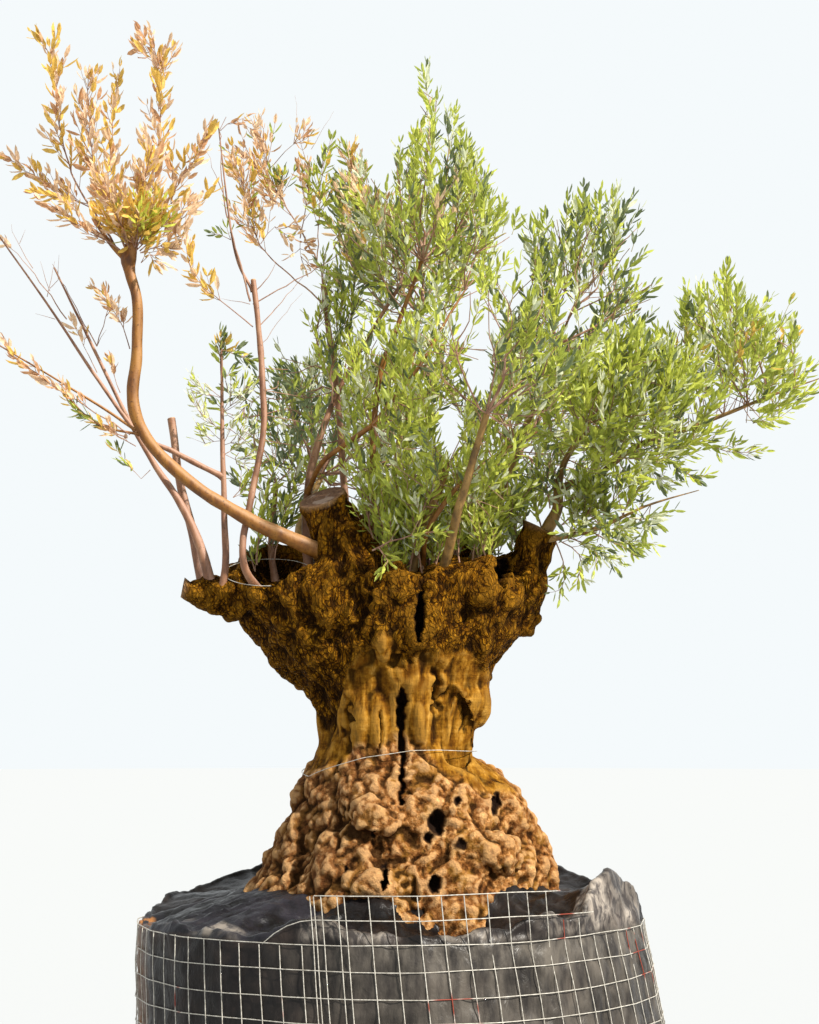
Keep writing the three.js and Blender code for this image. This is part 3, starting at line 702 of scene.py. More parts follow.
def finishLimbs(name, dark, middle, light, sunlitTop=None):  # the last colour is a painted highlight on the sides that face up towards the sun
    finish = Finish(name, Specular_IOR_Level=0.45)
    streak = finish.noise(40, 4, 0.6, finish.stretched((1, 1, 0.25)))
    fleck = finish.noise(130, 3, 0.6)
    broad = finish.noise(10, 3)
    colour = finish.ramp(streak * 0.55 + broad * 0.45, (0.36, dark), (0.48, middle), (0.62, light))
    if sunlitTop:
        # painted highlight: the sides that face up towards the sun take a paler colour
        upper = finish.attribute("top") + (streak - 0.5) * 0.8
        colour = finish.mix(upper.fade(0.25, 0.85, 0, 0.75), colour, sunlitTop)
    colour = finish.mix(fleck.fade(0.60, 0.70, 0, 0.7), colour, tuple(0.4 * value for value in dark))
    finish.feed(Base_Color=colour, Roughness=0.42 + streak * 0.35)
    finish.relief(streak * 0.6 + fleck * 0.4, 0.003, 0.6)
    return finish


# sawn ends of the young boughs: middle, facing and radius

sawnEnds = [
    ((-0.871, -0.331, 3.371), (-0.10, 0.05, 1.0), 0.0115),
    ((-0.868, -0.352, 3.309), (0.15, -1.0, 0.25), 0.0125),
    ((-0.854, -0.342, 3.335), (0.60, -0.8, 0.35), 0.0075),
    ((-0.772, 0.030, 2.746), (-0.15, 0.07, 1.0), 0.0125),
    ((-0.470, -0.170, 3.206), (-0.12, 0.03, 1.0), 0.0085),
    ((-0.236, 0.100, 3.241), (-0.12, -0.05, 1.0), 0.0098),
]


def makeSawnEnds():
    shape = bmesh.new()
    for middle, facing, radius in sawnEnds:
        turn = Vector(facing).to_track_quat("Z", "Y").to_matrix().to_4x4()
        turn.translation = middle
        size = {"radius1": radius, "radius2": radius * 0.96, "depth": 0.004}
        bmesh.ops.create_cone(shape, cap_ends=True, segments=20, **size, matrix=turn)
    return meshFrom("ends", shape)


def finishSawnEnds():
    finish = Finish("sawnEnds", Roughness=0.8)
    rings = finish.noise(160, 3)
    finish.feed(Base_Color=finish.ramp(rings, (0.35, (0.36, 0.17, 0.06)), (0.6, (0.62, 0.40, 0.20))))
    finish.relief(rings, 0.002)
    return finish


# leafy shoots: straight or gently bent twigs with pairs of leaves

leafPlan = {
    "length": 0.056, "width": 0.0138, "internode": 0.0205, "fold": 0.4, "curlSpread": 0.12,
    "sizes": (0.7, 1.2), "opening": 38, "openingSpread": 11, "tipClosing": 18,  # degrees away from the stem
    "kept": 0.90, "strays": 0.5,  # share of leaves not lost, and of those in another tint of their group
}

# colour, breadth, curl and slot of each kind of leaf
# the bright green and the deep green leaves stand for leaves lit from behind and leaves in shade: painted
# light and shade, dealt out at random
leafKinds = {
    "brightLeaves": {"colour": (0.50, 0.54, 0.085), "breadth": 1.0, "curl": 0.05, "slot": "green_foliage"},
    "freshLeaves": {"colour": (0.37, 0.42, 0.075), "breadth": 1.0, "curl": 0.05, "slot": "green_foliage"},
    "deepLeaves": {"colour": (0.15, 0.185, 0.090), "breadth": 1.0, "curl": 0.05, "slot": "green_foliage"},
    "silverLeaves": {"colour": (0.66, 0.69, 0.47), "breadth": 1.0, "curl": 0.05, "slot": "sparse_foliage"},
    "tanLeaves": {"colour": (0.76, 0.53, 0.34), "breadth": 1.15, "curl": 0.16, "slot": "dry_foliage"},
    "ochreLeaves": {"colour": (0.68, 0.45, 0.10), "breadth": 1.15, "curl": 0.12, "slot": "dry_foliage"},
    "rustLeaves": {"colour": (0.55, 0.31, 0.16), "breadth": 1.2, "curl": 0.25, "slot": "turning_foliage"},
}


def pickKinds(tints, chance, number=None):
    weights = np.array(list(tints.values()), dtype=float)
    return chance.choice(list(tints), number, p=weights / weights.sum())


def leavesOn(shoots, chance):  # pairs of leaves along the shoots, each of which is a row of points
    found = {key: [] for key in ("place", "aim", "wide", "size", "kind")}
    for points, leafyFrom, kind, tints, scale, spaced in shoots:
        length = np.linalg.norm(points[-1] - points[0])
        pairs = max(2, int(length * (1 - leafyFrom) / (leafPlan["internode"] * scale * spaced)))
        along = leafyFrom + (1 - leafyFrom) * (np.arange(pairs) + 0.9) / pairs
        along = np.repeat(along, 2) * (len(points) - 1)
        index = np.minimum(along.astype(int), len(points) - 2)
        share = (along - index)[:, None]
        place = points[index] * (1 - share) + points[index + 1] * share
        stem = unit(points[index + 1] - points[index])
        spin = chance.uniform(0, pi) + np.repeat(np.arange(pairs), 2) * (pi / 2)
        spin += chance.normal(0, 0.35, pairs * 2)
        level = unit(np.cross(stem, np.array((0.13, 0.21, 1.0))))
        across = level * np.cos(spin)[:, None] + np.cross(stem, level) * np.sin(spin)[:, None]
        across *= np.tile([1, -1], pairs)[:, None]
        tip = smoothstep(0.75, 1, along / (len(points) - 1))
        opening = chance.normal(leafPlan["opening"], leafPlan["openingSpread"], pairs * 2)
        opening = np.radians(opening - leafPlan["tipClosing"] * tip)[:, None]
        aim = unit(stem * np.cos(opening) + across * np.sin(opening))
        kept = chance.random(pairs * 2) < leafPlan["kept"]
        wide = unit(np.cross(stem, across) + 0.35 * chance.normal(0, 1, aim.shape))
        size = scale * leafPlan["length"] * chance.uniform(*leafPlan["sizes"], pairs * 2) * (1 - 0.3 * tip)
        for key, values in {"place": place, "aim": aim, "wide": wide, "size": size}.items():
            found[key].append(values[kept])
        stray = chance.random(kept.sum()) < leafPlan["strays"]
        found["kind"].append(np.where(stray, pickKinds(tints, chance, kept.sum()), kind))
    return {key: np.concatenate(parts) for key, parts in found.items()}


def leafMesh(leaves, breadth, curl, chance):  # every leaf is a folded blade of eight triangles
    place, aim, size = leaves["place"], leaves["aim"], leaves["size"][:, None]
    wide = unit(leaves["wide"] - aim * (leaves["wide"] * aim).sum(axis=1, keepdims=True))
    up = np.cross(wide, aim)
    half = size * leafPlan["width"] / leafPlan["length"] / 2 * breadth
    curve = chance.normal(curl, leafPlan["curlSpread"], (len(size), 1))
    rib = [place + aim * size * t - up * size * curve * t * t for t in (0.0, 0.32, 0.74, 1.0)]
    lift = up * half * leafPlan["fold"]
    edges = [
        rib[k] + side * wide * half * width + lift
        for side in (1, -1) for k, width in ((1, 1), (2, 0.92))
    ]
    points = np.stack([*rib, *edges], axis=1)  # 0-3 along the rib, 4-5 on the left edge, 6-7 on the right
    faces = [(0, 1, 4), (1, 5, 4), (1, 2, 5), (2, 3, 5), (0, 6, 1), (1, 6, 7), (1, 7, 2), (2, 7, 3)]
    index = (np.arange(len(size))[:, None, None] * 8 + np.array(faces)).reshape(-1)
    mesh = bpy.data.meshes.new("leaves")
    mesh.vertices.add(points.shape[0] * 8)
    mesh.vertices.foreach_set("co", points.reshape(-1))
    mesh.loops.add(len(index))
    mesh.loops.foreach_set("vertex_index", index)
    mesh.polygons.add(len(index) // 3)
    mesh.polygons.foreach_set("loop_start", np.arange(0, len(index), 3))
    mesh.update(calc_edges=True)
    return mesh


def finishLeaves(name, colour):
    finish = Finish(name, Specular_IOR_Level=0.3, Roughness=0.55)
    tone = finish.noise(9, 2) * 0.4 + finish.noise(75, 2) * 0.6
    lighter = tuple(min(1, value * 1.5) for value in colour)
    darker = tuple(value * 0.6 for value in colour)
    finish.feed(Base_Color=finish.ramp(tone, (0.38, darker), (0.5, colour), (0.62, lighter)))
    through = finish.node("BsdfTranslucent", {}, {"Color": colour})
    surface = Socket(finish, finish.shader.outputs[0])
    both = finish.node("MixShader", {}, {0: 0.46, 1: surface, 2: through})
    finish.plug(both, finish.tree.nodes["Material Output"].inputs["Surface"])
    return finish


# single twigs of the dry tuft, the bare left side, the turning crown and the old wood:
# middle line, radius at the foot, share of it without leaves, number and length of its side shoots;
# a twig with no more than a line and a radius is bare

stems = {
    "tuft": [
        ([(-0.9, -0.31, 3.24), (-1.09, -0.35, 3.57), (-1.14, -0.38, 3.88), (-1.19, -0.4, 4.01)], 0.0045,
         0.35, 9, 0.1),
        ([(-0.89, -0.34, 3.27), (-0.99, -0.4, 3.54), (-1.01, -0.43, 3.73), (-1.01, -0.47, 3.86)], 0.004,
         0.25, 10, 0.11),
        ([(-0.88, -0.32, 3.3), (-0.95, -0.27, 3.55), (-0.96, -0.25, 3.7), (-0.94, -0.2, 3.96)], 0.003, 0.25,
         7, 0.08),
        ([(-0.86, -0.33, 3.29), (-0.79, -0.3, 3.67), (-0.8, -0.28, 3.94), (-0.83, -0.26, 4.07)], 0.0042,
         0.2, 11, 0.1),
        ([(-0.79, -0.33, 3.91), (-0.88, -0.26, 4.02)], 0.0016, 0.3, 1, 0.05),
        ([(-0.79, -0.3, 3.77), (-0.78, -0.27, 3.89), (-0.75, -0.22, 4.01)], 0.0018, 0.4, 2, 0.06),
        ([(-0.84, -0.36, 3.29), (-0.65, -0.42, 3.58), (-0.61, -0.44, 3.68)], 0.0032, 0.2, 8, 0.09),
        ([(-0.9, -0.38, 3.26), (-1.12, -0.5, 3.39)], 0.003, 0.15, 6, 0.08),
        ([(-0.96, -0.33, 3.41), (-1.07, -0.32, 3.45), (-1.32, -0.28, 3.61)], 0.0026, 0.2, 7, 0.06),
        ([(-1.01, -0.34, 3.43), (-1.21, -0.36, 3.47)], 0.0018, 0.15, 4, 0.06),
        ([(-0.85, -0.3, 3.28), (-0.69, -0.23, 3.43), (-0.66, -0.2, 3.48)], 0.0026, 0.15, 6, 0.09),
        ([(-0.86, -0.34, 3.31), (-0.84, -0.4, 3.42), (-0.79, -0.52, 3.57)], 0.003, 0.15, 7, 0.1),
        ([(-0.88, -0.36, 3.28), (-0.93, -0.62, 3.46)], 0.003, 0.15, 7, 0.1),
        ([(-0.86, -0.3, 3.29), (-0.85, -0.22, 3.42), (-0.82, -0.06, 3.63)], 0.003, 0.15, 7, 0.1),
        ([(-0.88, -0.3, 3.28), (-1.06, -0.02, 3.64)], 0.003, 0.15, 7, 0.1),
        ([(-0.84, -0.36, 3.26), (-0.77, -0.39, 3.28), (-0.7, -0.42, 3.26), (-0.7, -0.45, 3.3)], 0.0022, 0.1,
         4, 0.08),
        ([(-0.84, -0.34, 3.23), (-0.81, -0.33, 3.26), (-0.75, -0.3, 3.22)], 0.0016, 0.1, 2, 0.06),
    ],
    "heart": [
        ([(-0.87, -0.34, 3.27), (-0.94, -0.42, 3.38)], 0.0022, 0, 5, 0.08),
        ([(-0.86, -0.34, 3.27), (-0.79, -0.46, 3.4)], 0.0022, 0, 6, 0.08),
        ([(-0.86, -0.34, 3.27), (-0.73, -0.4, 3.38)], 0.0022, 0, 5, 0.08),
        ([(-0.86, -0.36, 3.28), (-0.84, -0.43, 3.33), (-0.85, -0.5, 3.39)], 0.0022, 0, 6, 0.08),
        ([(-0.87, -0.32, 3.29), (-0.85, -0.2, 3.46)], 0.0022, 0, 6, 0.08),
    ],
    "bare": [
        ([(-1.13, -0.1, 3.08), (-1.26, -0.11, 3.26), (-1.37, -0.12, 3.37)], 0.0024, 0.9, 0, 0.04),
        ([(-1.2, -0.1, 3.16), (-1.17, -0.13, 3.28)], 0.0015),
        ([(-1.19, -0.1, 3.18), (-1.22, -0.13, 3.28)], 0.0012),
        ([(-1.19, -0.1, 3.19), (-1.16, -0.1, 3.22), (-1.16, -0.1, 3.31)], 0.0012),
        ([(-1.17, -0.1, 3.08), (-1.24, -0.1, 3.1)], 0.0012),
        ([(-1.01, -0.18, 2.97), (-1.17, -0.18, 3.26)], 0.0022),
        ([(-1.01, -0.18, 2.97), (-0.98, -0.17, 3.03)], 0.0014),
        ([(-1.25, -0.11, 3.26), (-1.31, -0.1, 3.36), (-1.33, -0.1, 3.42)], 0.0014),
        ([(-1.3, -0.1, 3.35), (-1.28, -0.1, 3.4)], 0.001),
        ([(-0.48, -0.17, 3.13), (-0.57, -0.17, 3.47), (-0.59, -0.16, 3.74), (-0.57, -0.16, 3.79)], 0.004),
        ([(-0.58, -0.16, 3.52), (-0.64, -0.15, 3.67)], 0.0015),
        ([(-0.47, -0.17, 3.16), (-0.42, -0.17, 3.21), (-0.39, -0.17, 3.27)], 0.0022),
        ([(-0.47, -0.17, 3.12), (-0.21, -0.13, 3.28), (-0.15, -0.11, 3.34), (-0.13, -0.1, 3.43)], 0.0026),
        ([(-0.45, -0.17, 3.04), (-0.3, -0.1, 3.23)], 0.0022),
        ([(-0.44, -0.17, 2.98), (-0.3, -0.12, 3.17)], 0.0012),
        ([(-0.48, -0.17, 3.12), (-0.58, -0.17, 3.14)], 0.0014),
        ([(-0.32, 0.05, 3.76), (-0.34, 0.05, 3.93)], 0.0009),
        ([(-0.28, 0.05, 3.73), (-0.2, 0.05, 3.87)], 0.0009),
    ],
    "dryTwigs": [
        ([(-1.01, -0.18, 2.97), (-0.97, -0.19, 3.13), (-1.02, -0.2, 3.17)], 0.0018, 0.3, 3, 0.05),
        ([(-0.88, -0.3, 2.94), (-0.92, -0.31, 3.04), (-1, -0.33, 3.15)], 0.002, 0.25, 6, 0.045),
        ([(-1.02, -0.1, 2.89), (-1.11, -0.12, 3.07)], 0.0016, 0.5, 2, 0.04),
        ([(-0.93, -0.16, 2.81), (-0.97, -0.16, 2.93)], 0.0016, 0.5, 2, 0.04),
        ([(-0.87, -0.34, 2.64), (-1.21, -0.35, 2.86), (-1.3, -0.35, 2.96)], 0.0026, 0.3, 9, 0.045),
        ([(-0.85, -0.34, 2.6), (-0.99, -0.36, 2.68)], 0.0018, 0.3, 3, 0.04),
        ([(-0.59, -0.16, 3.74), (-0.54, -0.16, 3.78), (-0.49, -0.16, 3.75), (-0.46, -0.16, 3.71)], 0.0014,
         0.3, 3, 0.05),
    ],
    "greenTwigs": [
        ([(-0.88, -0.34, 2.63), (-1.05, -0.33, 2.72), (-1.09, -0.33, 2.77)], 0.0022, 0.2, 6, 0.045),
        ([(-0.8, -0.34, 2.52), (-0.83, -0.34, 2.49), (-0.93, -0.34, 2.6)], 0.0014, 0.5, 2, 0.04),
        ([(-0.55, -0.16, 3.35), (-0.62, -0.16, 3.38)], 0.0014, 0.3, 2, 0.04),
        ([(-0.58, -0.1, 2.82), (-0.59, -0.09, 2.97), (-0.58, -0.08, 3.02)], 0.002, 0.55, 5, 0.06),
        ([(-0.56, -0.12, 2.82), (-0.57, -0.12, 2.87), (-0.54, -0.12, 2.9)], 0.0014, 0.6, 1, 0.03),
        ([(-0.58, -0.1, 2.97), (-0.47, -0.06, 2.94)], 0.0014, 0.1, 5, 0.05),
    ],
    "drySpray": [
        ([(-0.47, -0.17, 3.04), (-0.67, -0.19, 3.21), (-0.69, -0.2, 3.26), (-0.68, -0.2, 3.34)], 0.0024,
         0.35, 7, 0.05),
    ],
    "left": [
        ([(-0.23, 0.1, 3.19), (-0.26, 0.09, 3.33), (-0.41, 0.07, 3.59), (-0.5, 0.06, 3.7),
         (-0.55, 0.05, 3.72)], 0.004, 0.55, 8, 0.08),
        ([(-0.23, 0.1, 3.17), (-0.46, 0.06, 3.38), (-0.55, 0, 3.65)], 0.0032, 0.45, 9, 0.08),
        ([(-0.41, 0.05, 3.59), (-0.48, 0, 3.82)], 0.002, 0.3, 5, 0.07),
        ([(-0.44, 0.05, 3.65), (-0.37, 0.03, 3.72), (-0.28, 0, 3.78)], 0.0016, 0.6, 2, 0.05),
        ([(-0.32, 0.08, 3.41), (-0.29, 0.09, 3.59), (-0.3, 0.1, 3.7)], 0.0022, 0.3, 6, 0.08),
        ([(-0.37, 0.06, 3.52), (-0.44, -0.05, 3.53)], 0.0014, 0.2, 3, 0.06),
        ([(-0.5, 0.02, 3.51), (-0.53, -0.03, 3.61), (-0.57, -0.06, 3.64)], 0.0016, 0.2, 5, 0.07),
        ([(-0.46, 0.04, 3.38), (-0.41, 0.03, 3.44), (-0.35, 0, 3.37)], 0.0014, 0.3, 4, 0.06),
        ([(-0.32, 0.08, 3.4), (-0.31, 0.05, 3.31)], 0.0012, 0.2, 3, 0.05),
        ([(-0.47, 0, 3.43), (-0.52, -0.03, 3.44), (-0.54, -0.05, 3.48)], 0.0012, 0.3, 3, 0.06),
        ([(-0.2, 0.12, 3.41), (-0.16, 0.12, 3.47), (-0.13, 0.11, 3.54), (-0.15, 0.1, 3.74)], 0.0018, 0.45,
         6, 0.07),
        ([(-0.01, 0.12, 3.43), (-0.04, 0.11, 3.5), (-0.12, 0.1, 3.56)], 0.0018, 0.1, 5, 0.06),
    ],
    "leftGreen": [
        ([(-0.26, 0.1, 3.33), (-0.24, 0.08, 3.73)], 0.0024, 0.35, 8, 0.08),
        ([(-0.39, 0.06, 3.56), (-0.38, 0, 3.62)], 0.0014, 0, 4, 0.06),
        ([(-0.2, 0.08, 3.37), (-0.14, 0.11, 3.51), (-0.18, 0.12, 3.6)], 0.002, 0.5, 4, 0.06),
        ([(0.02, 0.12, 3.33), (-0.01, 0.12, 3.43), (-0.1, 0.11, 3.56), (-0.13, 0.1, 3.72)], 0.0026, 0.3, 9,
         0.08),
    ],
    "airy": [
        ([(-0.58, -0.1, 2.68), (-0.64, -0.1, 2.73), (-0.67, -0.1, 2.8)], 0.0012, 0.1, 7, 0.09),
        ([(-0.58, -0.1, 2.75), (-0.53, -0.1, 2.8), (-0.48, -0.1, 2.86)], 0.0012, 0.1, 8, 0.09),
        ([(-0.58, -0.11, 2.63), (-0.52, -0.1, 2.65), (-0.46, -0.1, 2.69)], 0.0012, 0.1, 7, 0.08),
        ([(-0.58, -0.1, 2.8), (-0.64, -0.1, 2.82), (-0.68, -0.1, 2.88)], 0.0012, 0.1, 6, 0.08),
        ([(-0.44, -0.18, 2.8), (-0.52, -0.14, 2.74), (-0.56, -0.1, 2.71)], 0.0012, 0.1, 6, 0.08),
        ([(-0.57, -0.12, 2.6), (-0.52, -0.1, 2.58), (-0.47, -0.1, 2.55)], 0.0012, 0.1, 6, 0.08),
        ([(-0.58, -0.1, 2.65), (-0.64, -0.1, 2.64), (-0.69, -0.1, 2.66)], 0.0012, 0.1, 6, 0.08),
    ],
    "sprig": [
        ([(0.4, 0.12, 2.2), (0.39, 0.14, 2.34), (0.4, 0.14, 2.5)], 0.003, 0.15, 11, 0.12),
        ([(0.45, 0.1, 2.18), (0.46, 0.12, 2.32), (0.44, 0.14, 2.48)], 0.003, 0.15, 11, 0.12),
        ([(0.36, 0.16, 2.2), (0.34, 0.18, 2.36), (0.37, 0.18, 2.52)], 0.003, 0.15, 11, 0.12),
        ([(0.42, 0.2, 2.2), (0.46, 0.22, 2.36), (0.5, 0.22, 2.54)], 0.003, 0.15, 11, 0.12),
        ([(0.58, -0.04, 2.32), (0.67, -0.05, 2.25), (0.66, -0.06, 2.15)], 0.003, 0.2, 5, 0.07),
        ([(0.62, -0.04, 2.32), (0.72, -0.06, 2.27), (0.72, -0.06, 2.2)], 0.003, 0.2, 4, 0.07),
        ([(0.59, -0.02, 2.3), (0.62, -0.03, 2.2), (0.6, -0.04, 2.1)], 0.003, 0.3, 4, 0.06),
        ([(0.53, 0.06, 2.32), (0.46, 0.1, 2.42), (0.44, 0.1, 2.52)], 0.003, 0.2, 9, 0.11),
        ([(0.55, 0.06, 2.32), (0.53, 0.12, 2.44), (0.5, 0.14, 2.56)], 0.003, 0.2, 9, 0.11),
        ([(0.72, -0.06, 2.33), (0.79, -0.08, 2.29), (0.87, -0.08, 2.26)], 0.003, 0.2, 5, 0.08),
        ([(0.6, -0.02, 2.42), (0.66, -0.1, 2.46), (0.74, -0.14, 2.52)], 0.003, 0.1, 8, 0.11),
        ([(0.61, -0.03, 2.36), (0.67, -0.1, 2.42), (0.7, -0.12, 2.5)], 0.003, 0.1, 8, 0.11),
        ([(0.64, -0.05, 2.33), (0.7, -0.1, 2.4), (0.73, -0.12, 2.5)], 0.003, 0.1, 8, 0.11),
        ([(0.72, -0.07, 2.34), (0.78, -0.1, 2.44), (0.8, -0.1, 2.54)], 0.003, 0.1, 8, 0.11),
        ([(0.82, -0.08, 2.39), (0.86, -0.1, 2.48), (0.9, -0.1, 2.56)], 0.003, 0.1, 8, 0.11),
        ([(0.57, -0.02, 2.42), (0.56, -0.06, 2.52), (0.58, -0.08, 2.62)], 0.003, 0.1, 8, 0.11),
        ([(0.6, 0.03, 2.42), (0.68, 0.1, 2.46), (0.78, 0.14, 2.5)], 0.003, 0.1, 8, 0.11),
        ([(0.95, 0, 2.69), (1.08, -0.03, 2.66), (1.2, -0.05, 2.62), (1.33, -0.05, 2.62)], 0.003, 0.2, 8,
         0.08),
        ([(0.9, -0.02, 2.66), (1, -0.06, 2.58), (1.1, -0.08, 2.5)], 0.003, 0.15, 8, 0.09),
        ([(0.86, 0, 2.64), (0.94, 0.06, 2.56), (1.04, 0.1, 2.52)], 0.003, 0.15, 8, 0.09),
        ([(-0.05, -0.3, 2.25), (0.05, -0.35, 2.29), (0.2, -0.34, 2.31)], 0.0035, 0.3, 3, 0.07),
        ([(-0.03, -0.32, 2.26), (0, -0.37, 2.21), (-0.02, -0.39, 2.17)], 0.003, 0.2, 2, 0.06),
        ([(-0.47, 0.03, 2.2), (-0.49, 0.04, 2.27), (-0.45, 0.05, 2.31)], 0.003, 0.2, 4, 0.06),
        ([(-0.46, -0.02, 2.22), (-0.45, -0.03, 2.4), (-0.42, -0.02, 2.52)], 0.003, 0.15, 9, 0.1),
        ([(-0.4, 0, 2.24), (-0.36, -0.02, 2.42), (-0.32, 0, 2.54)], 0.003, 0.15, 9, 0.1),
        ([(-0.42, 0.06, 2.24), (-0.4, 0.08, 2.36), (-0.36, 0.1, 2.44)], 0.003, 0.15, 8, 0.09),
        ([(-0.54, -0.1, 2.45), (-0.48, -0.08, 2.52), (-0.44, -0.05, 2.55)], 0.002, 0.15, 4, 0.07),
        ([(-0.2, 0.03, 2.8), (-0.2, 0, 2.95), (-0.17, 0, 3.1), (-0.17, 0, 3.27)], 0.0035, 0.1, 14, 0.11),
        ([(-0.16, 0.03, 2.88), (-0.14, 0.02, 3.05), (-0.12, 0.02, 3.25), (-0.11, 0, 3.38)], 0.0035, 0.1, 14,
         0.11),
        ([(-0.24, 0.1, 2.95), (-0.26, 0.09, 3.08), (-0.23, 0.09, 3.2), (-0.24, 0.1, 3.34)], 0.003, 0.2, 10,
         0.09),
    ],
}
stemTints = {
    "tuft": {"tanLeaves": 5, "ochreLeaves": 4, "rustLeaves": 1.5},
    "heart": {"ochreLeaves": 5, "brightLeaves": 3, "tanLeaves": 1},
    "dryTwigs": {"tanLeaves": 4, "ochreLeaves": 2, "rustLeaves": 1},
    "greenTwigs": {"deepLeaves": 3, "freshLeaves": 2, "ochreLeaves": 1},
    "drySpray": {"ochreLeaves": 3, "tanLeaves": 3},
    "left": {"tanLeaves": 6, "ochreLeaves": 1.5, "rustLeaves": 1, "freshLeaves": 0.8},
    "leftGreen": {"freshLeaves": 3, "brightLeaves": 2, "deepLeaves": 1, "ochreLeaves": 1},
    "bare": {"tanLeaves": 1},
    "airy": {"brightLeaves": 3, "silverLeaves": 4},
    "sprig": {"brightLeaves": 4, "freshLeaves": 5, "deepLeaves": 2, "silverLeaves": 1},
    "sprout": {"brightLeaves": 9, "freshLeaves": 5, "silverLeaves": 3},
}
stemGrowth = {  # more side shoots, longer ones, the size of the leaves and the space between them
    "tuft": (1.45, 1.15, 1.05, 1.15), "heart": (1.8, 1.1, 1.1, 1.0), "left": (1.9, 1.5, 0.9, 1.7),
    "leftGreen": (1.8, 1.4, 0.95, 1.4), "dryTwigs": (1.0, 1.0, 0.9, 1.3), "drySpray": (1.1, 1.2, 1.0, 1.2),
    "airy": (1.0, 1.0, 0.7, 1.8), "other": (1.1, 1.0, 0.9, 1.0),
}
sprouts = {  # young growth straight out of the old wood of the head: where, how many, how long
    "low": (-0.10, -0.22), "high": (0.38, 0.14), "heights": (2.0, 2.34), "number": 42, "length": 0.34,
}
bareTwigs = {"number": 30, "from": 0.90, "to": 1.28, "lengths": (0.08, 0.2)}  # over the long right bough
shootSteps = np.linspace(0, 1, 4)[:, None]  # shares of the way along a shoot


def sproutRows(skin, chance):
    rows = []
    for across, back in chance.uniform(sprouts["low"], sprouts["high"], (sprouts["number"], 2)):
        foot = skin.ray_cast(Vector((across, back, 2.8)), Vector((0, 0, -1)))[0]
        if foot is None or not sprouts["heights"][0] < foot.z < sprouts["heights"][1]:
            continue
        way = np.array((0.3 * (across - 0.2), 0.3 * (back + 0.05), 1))
        way = unit(way + (*chance.normal(0, 0.16, 2), 0))
        length = sprouts["length"] * chance.uniform(0.5, 1.3)
        bend = (*chance.normal(0, 0.12, 2), 0) * np.ones(3)
        line = np.array(foot) - (0, 0, 0.02) + way * length * shootSteps + bend * length * shootSteps**2
        rows.append((line, 0.0035, 0.1, int(length * 24), 0.10))
    return rows


def bareRows(chance):
    line = smoothPath(boughs["long_right_bough"], 0.02)[:, :3]
    feet = line[(line[:, 0] > bareTwigs["from"]) & (line[:, 0] < bareTwigs["to"])]
    rows = []
    for foot in feet[chance.integers(0, len(feet), bareTwigs["number"])]:
        way = unit(np.array((0.25, 0, 0.8)) + chance.normal(0, 0.45, 3))
        curve = way * shootSteps + chance.normal(0, 0.3, 3) * shootSteps**2 * 0.5
        rows.append((foot + curve * chance.uniform(*bareTwigs["lengths"]), 0.0018))
    return rows


def growStems(skin, chance):
    paths, shoots = [], []
    grown = {"sprout": sproutRows(skin, chance), "bare": stems["bare"] + bareRows(chance)}
    for kind, rows in (stems | grown).items():
        tints = stemTints[kind]
        fullness, longer, size, spaced = stemGrowth.get(kind, stemGrowth["other"])
        for line, thickness, *leafy in rows:
            leafyFrom, number, length = leafy or (1, 0, 0)
            points = smoothPath(line, 0.03)
            points[1:-1] += chance.normal(0, 0.0022, points[1:-1].shape)
            share = walkedAlong(points) / walkedAlong(points)[-1]
            paths.append((points, thickness * (1 - 0.72 * share)))
            if leafyFrom < 1:
                leader = points[int(leafyFrom * (len(points) - 2)):]
                shoots.append((leader, 0.15, pickKinds(tints, chance), tints, size, spaced))
            number = round(number * fullness)
            for rank in range(number):
                at = leafyFrom + (1 - leafyFrom) * (rank + chance.random()) / (number + 0.6)
                index = min(int(at * (len(points) - 1)), len(points) - 2)
                stem = unit(points[index + 1] - points[index])
                way = unit(stem + 0.75 * unit(np.cross(stem, chance.normal(0, 1, 3))) + (0, 0, 0.25))
                reach = length * longer * chance.uniform(0.6, 1.3) * (1 - 0.35 * at)
                twig = points[index] + way * reach * shootSteps + (0, 0, 0.25 * reach) * shootSteps**2
                paths.append((twig, 0.0013 - 0.0006 * shootSteps[:, 0]))
                shoots.append((twig, 0.12, pickKinds(tints, chance), tints, size, spaced))
    return paths, shoots


# crown: a seeded rule grows branches from the boughs through each mass of foliage

crown = {
    "seed": 11, "tries": 7,  # places tried for each growing point that the spacing has room for
    "spacing": 0.090, "closest": 0.72,  # metres between growing points, and the least share of it
    "margin": 0.07, "cover": 0.015,  # metres that these points keep inside the outline and inside their mass
    "core": 0.55, "shell": 0.45, "shellDepth": 0.12,  # share kept everywhere, and more near the surface
    "clump": 0.20, "gaps": -0.28,  # width of the clumps, and the level under which they leave gaps
    "bold": 0.06, "uneven": 0.035,  # share of points and shoots in the openings, and how rough the edge is
    "balance": 0.72, "reach": 0.42,  # how direct the way from the bough is, and the longest step on it
    "tipRadius": 0.0013, "thickening": 2.5, "slack": 0.05,  # how far leaves may pass the mass that they fill
}

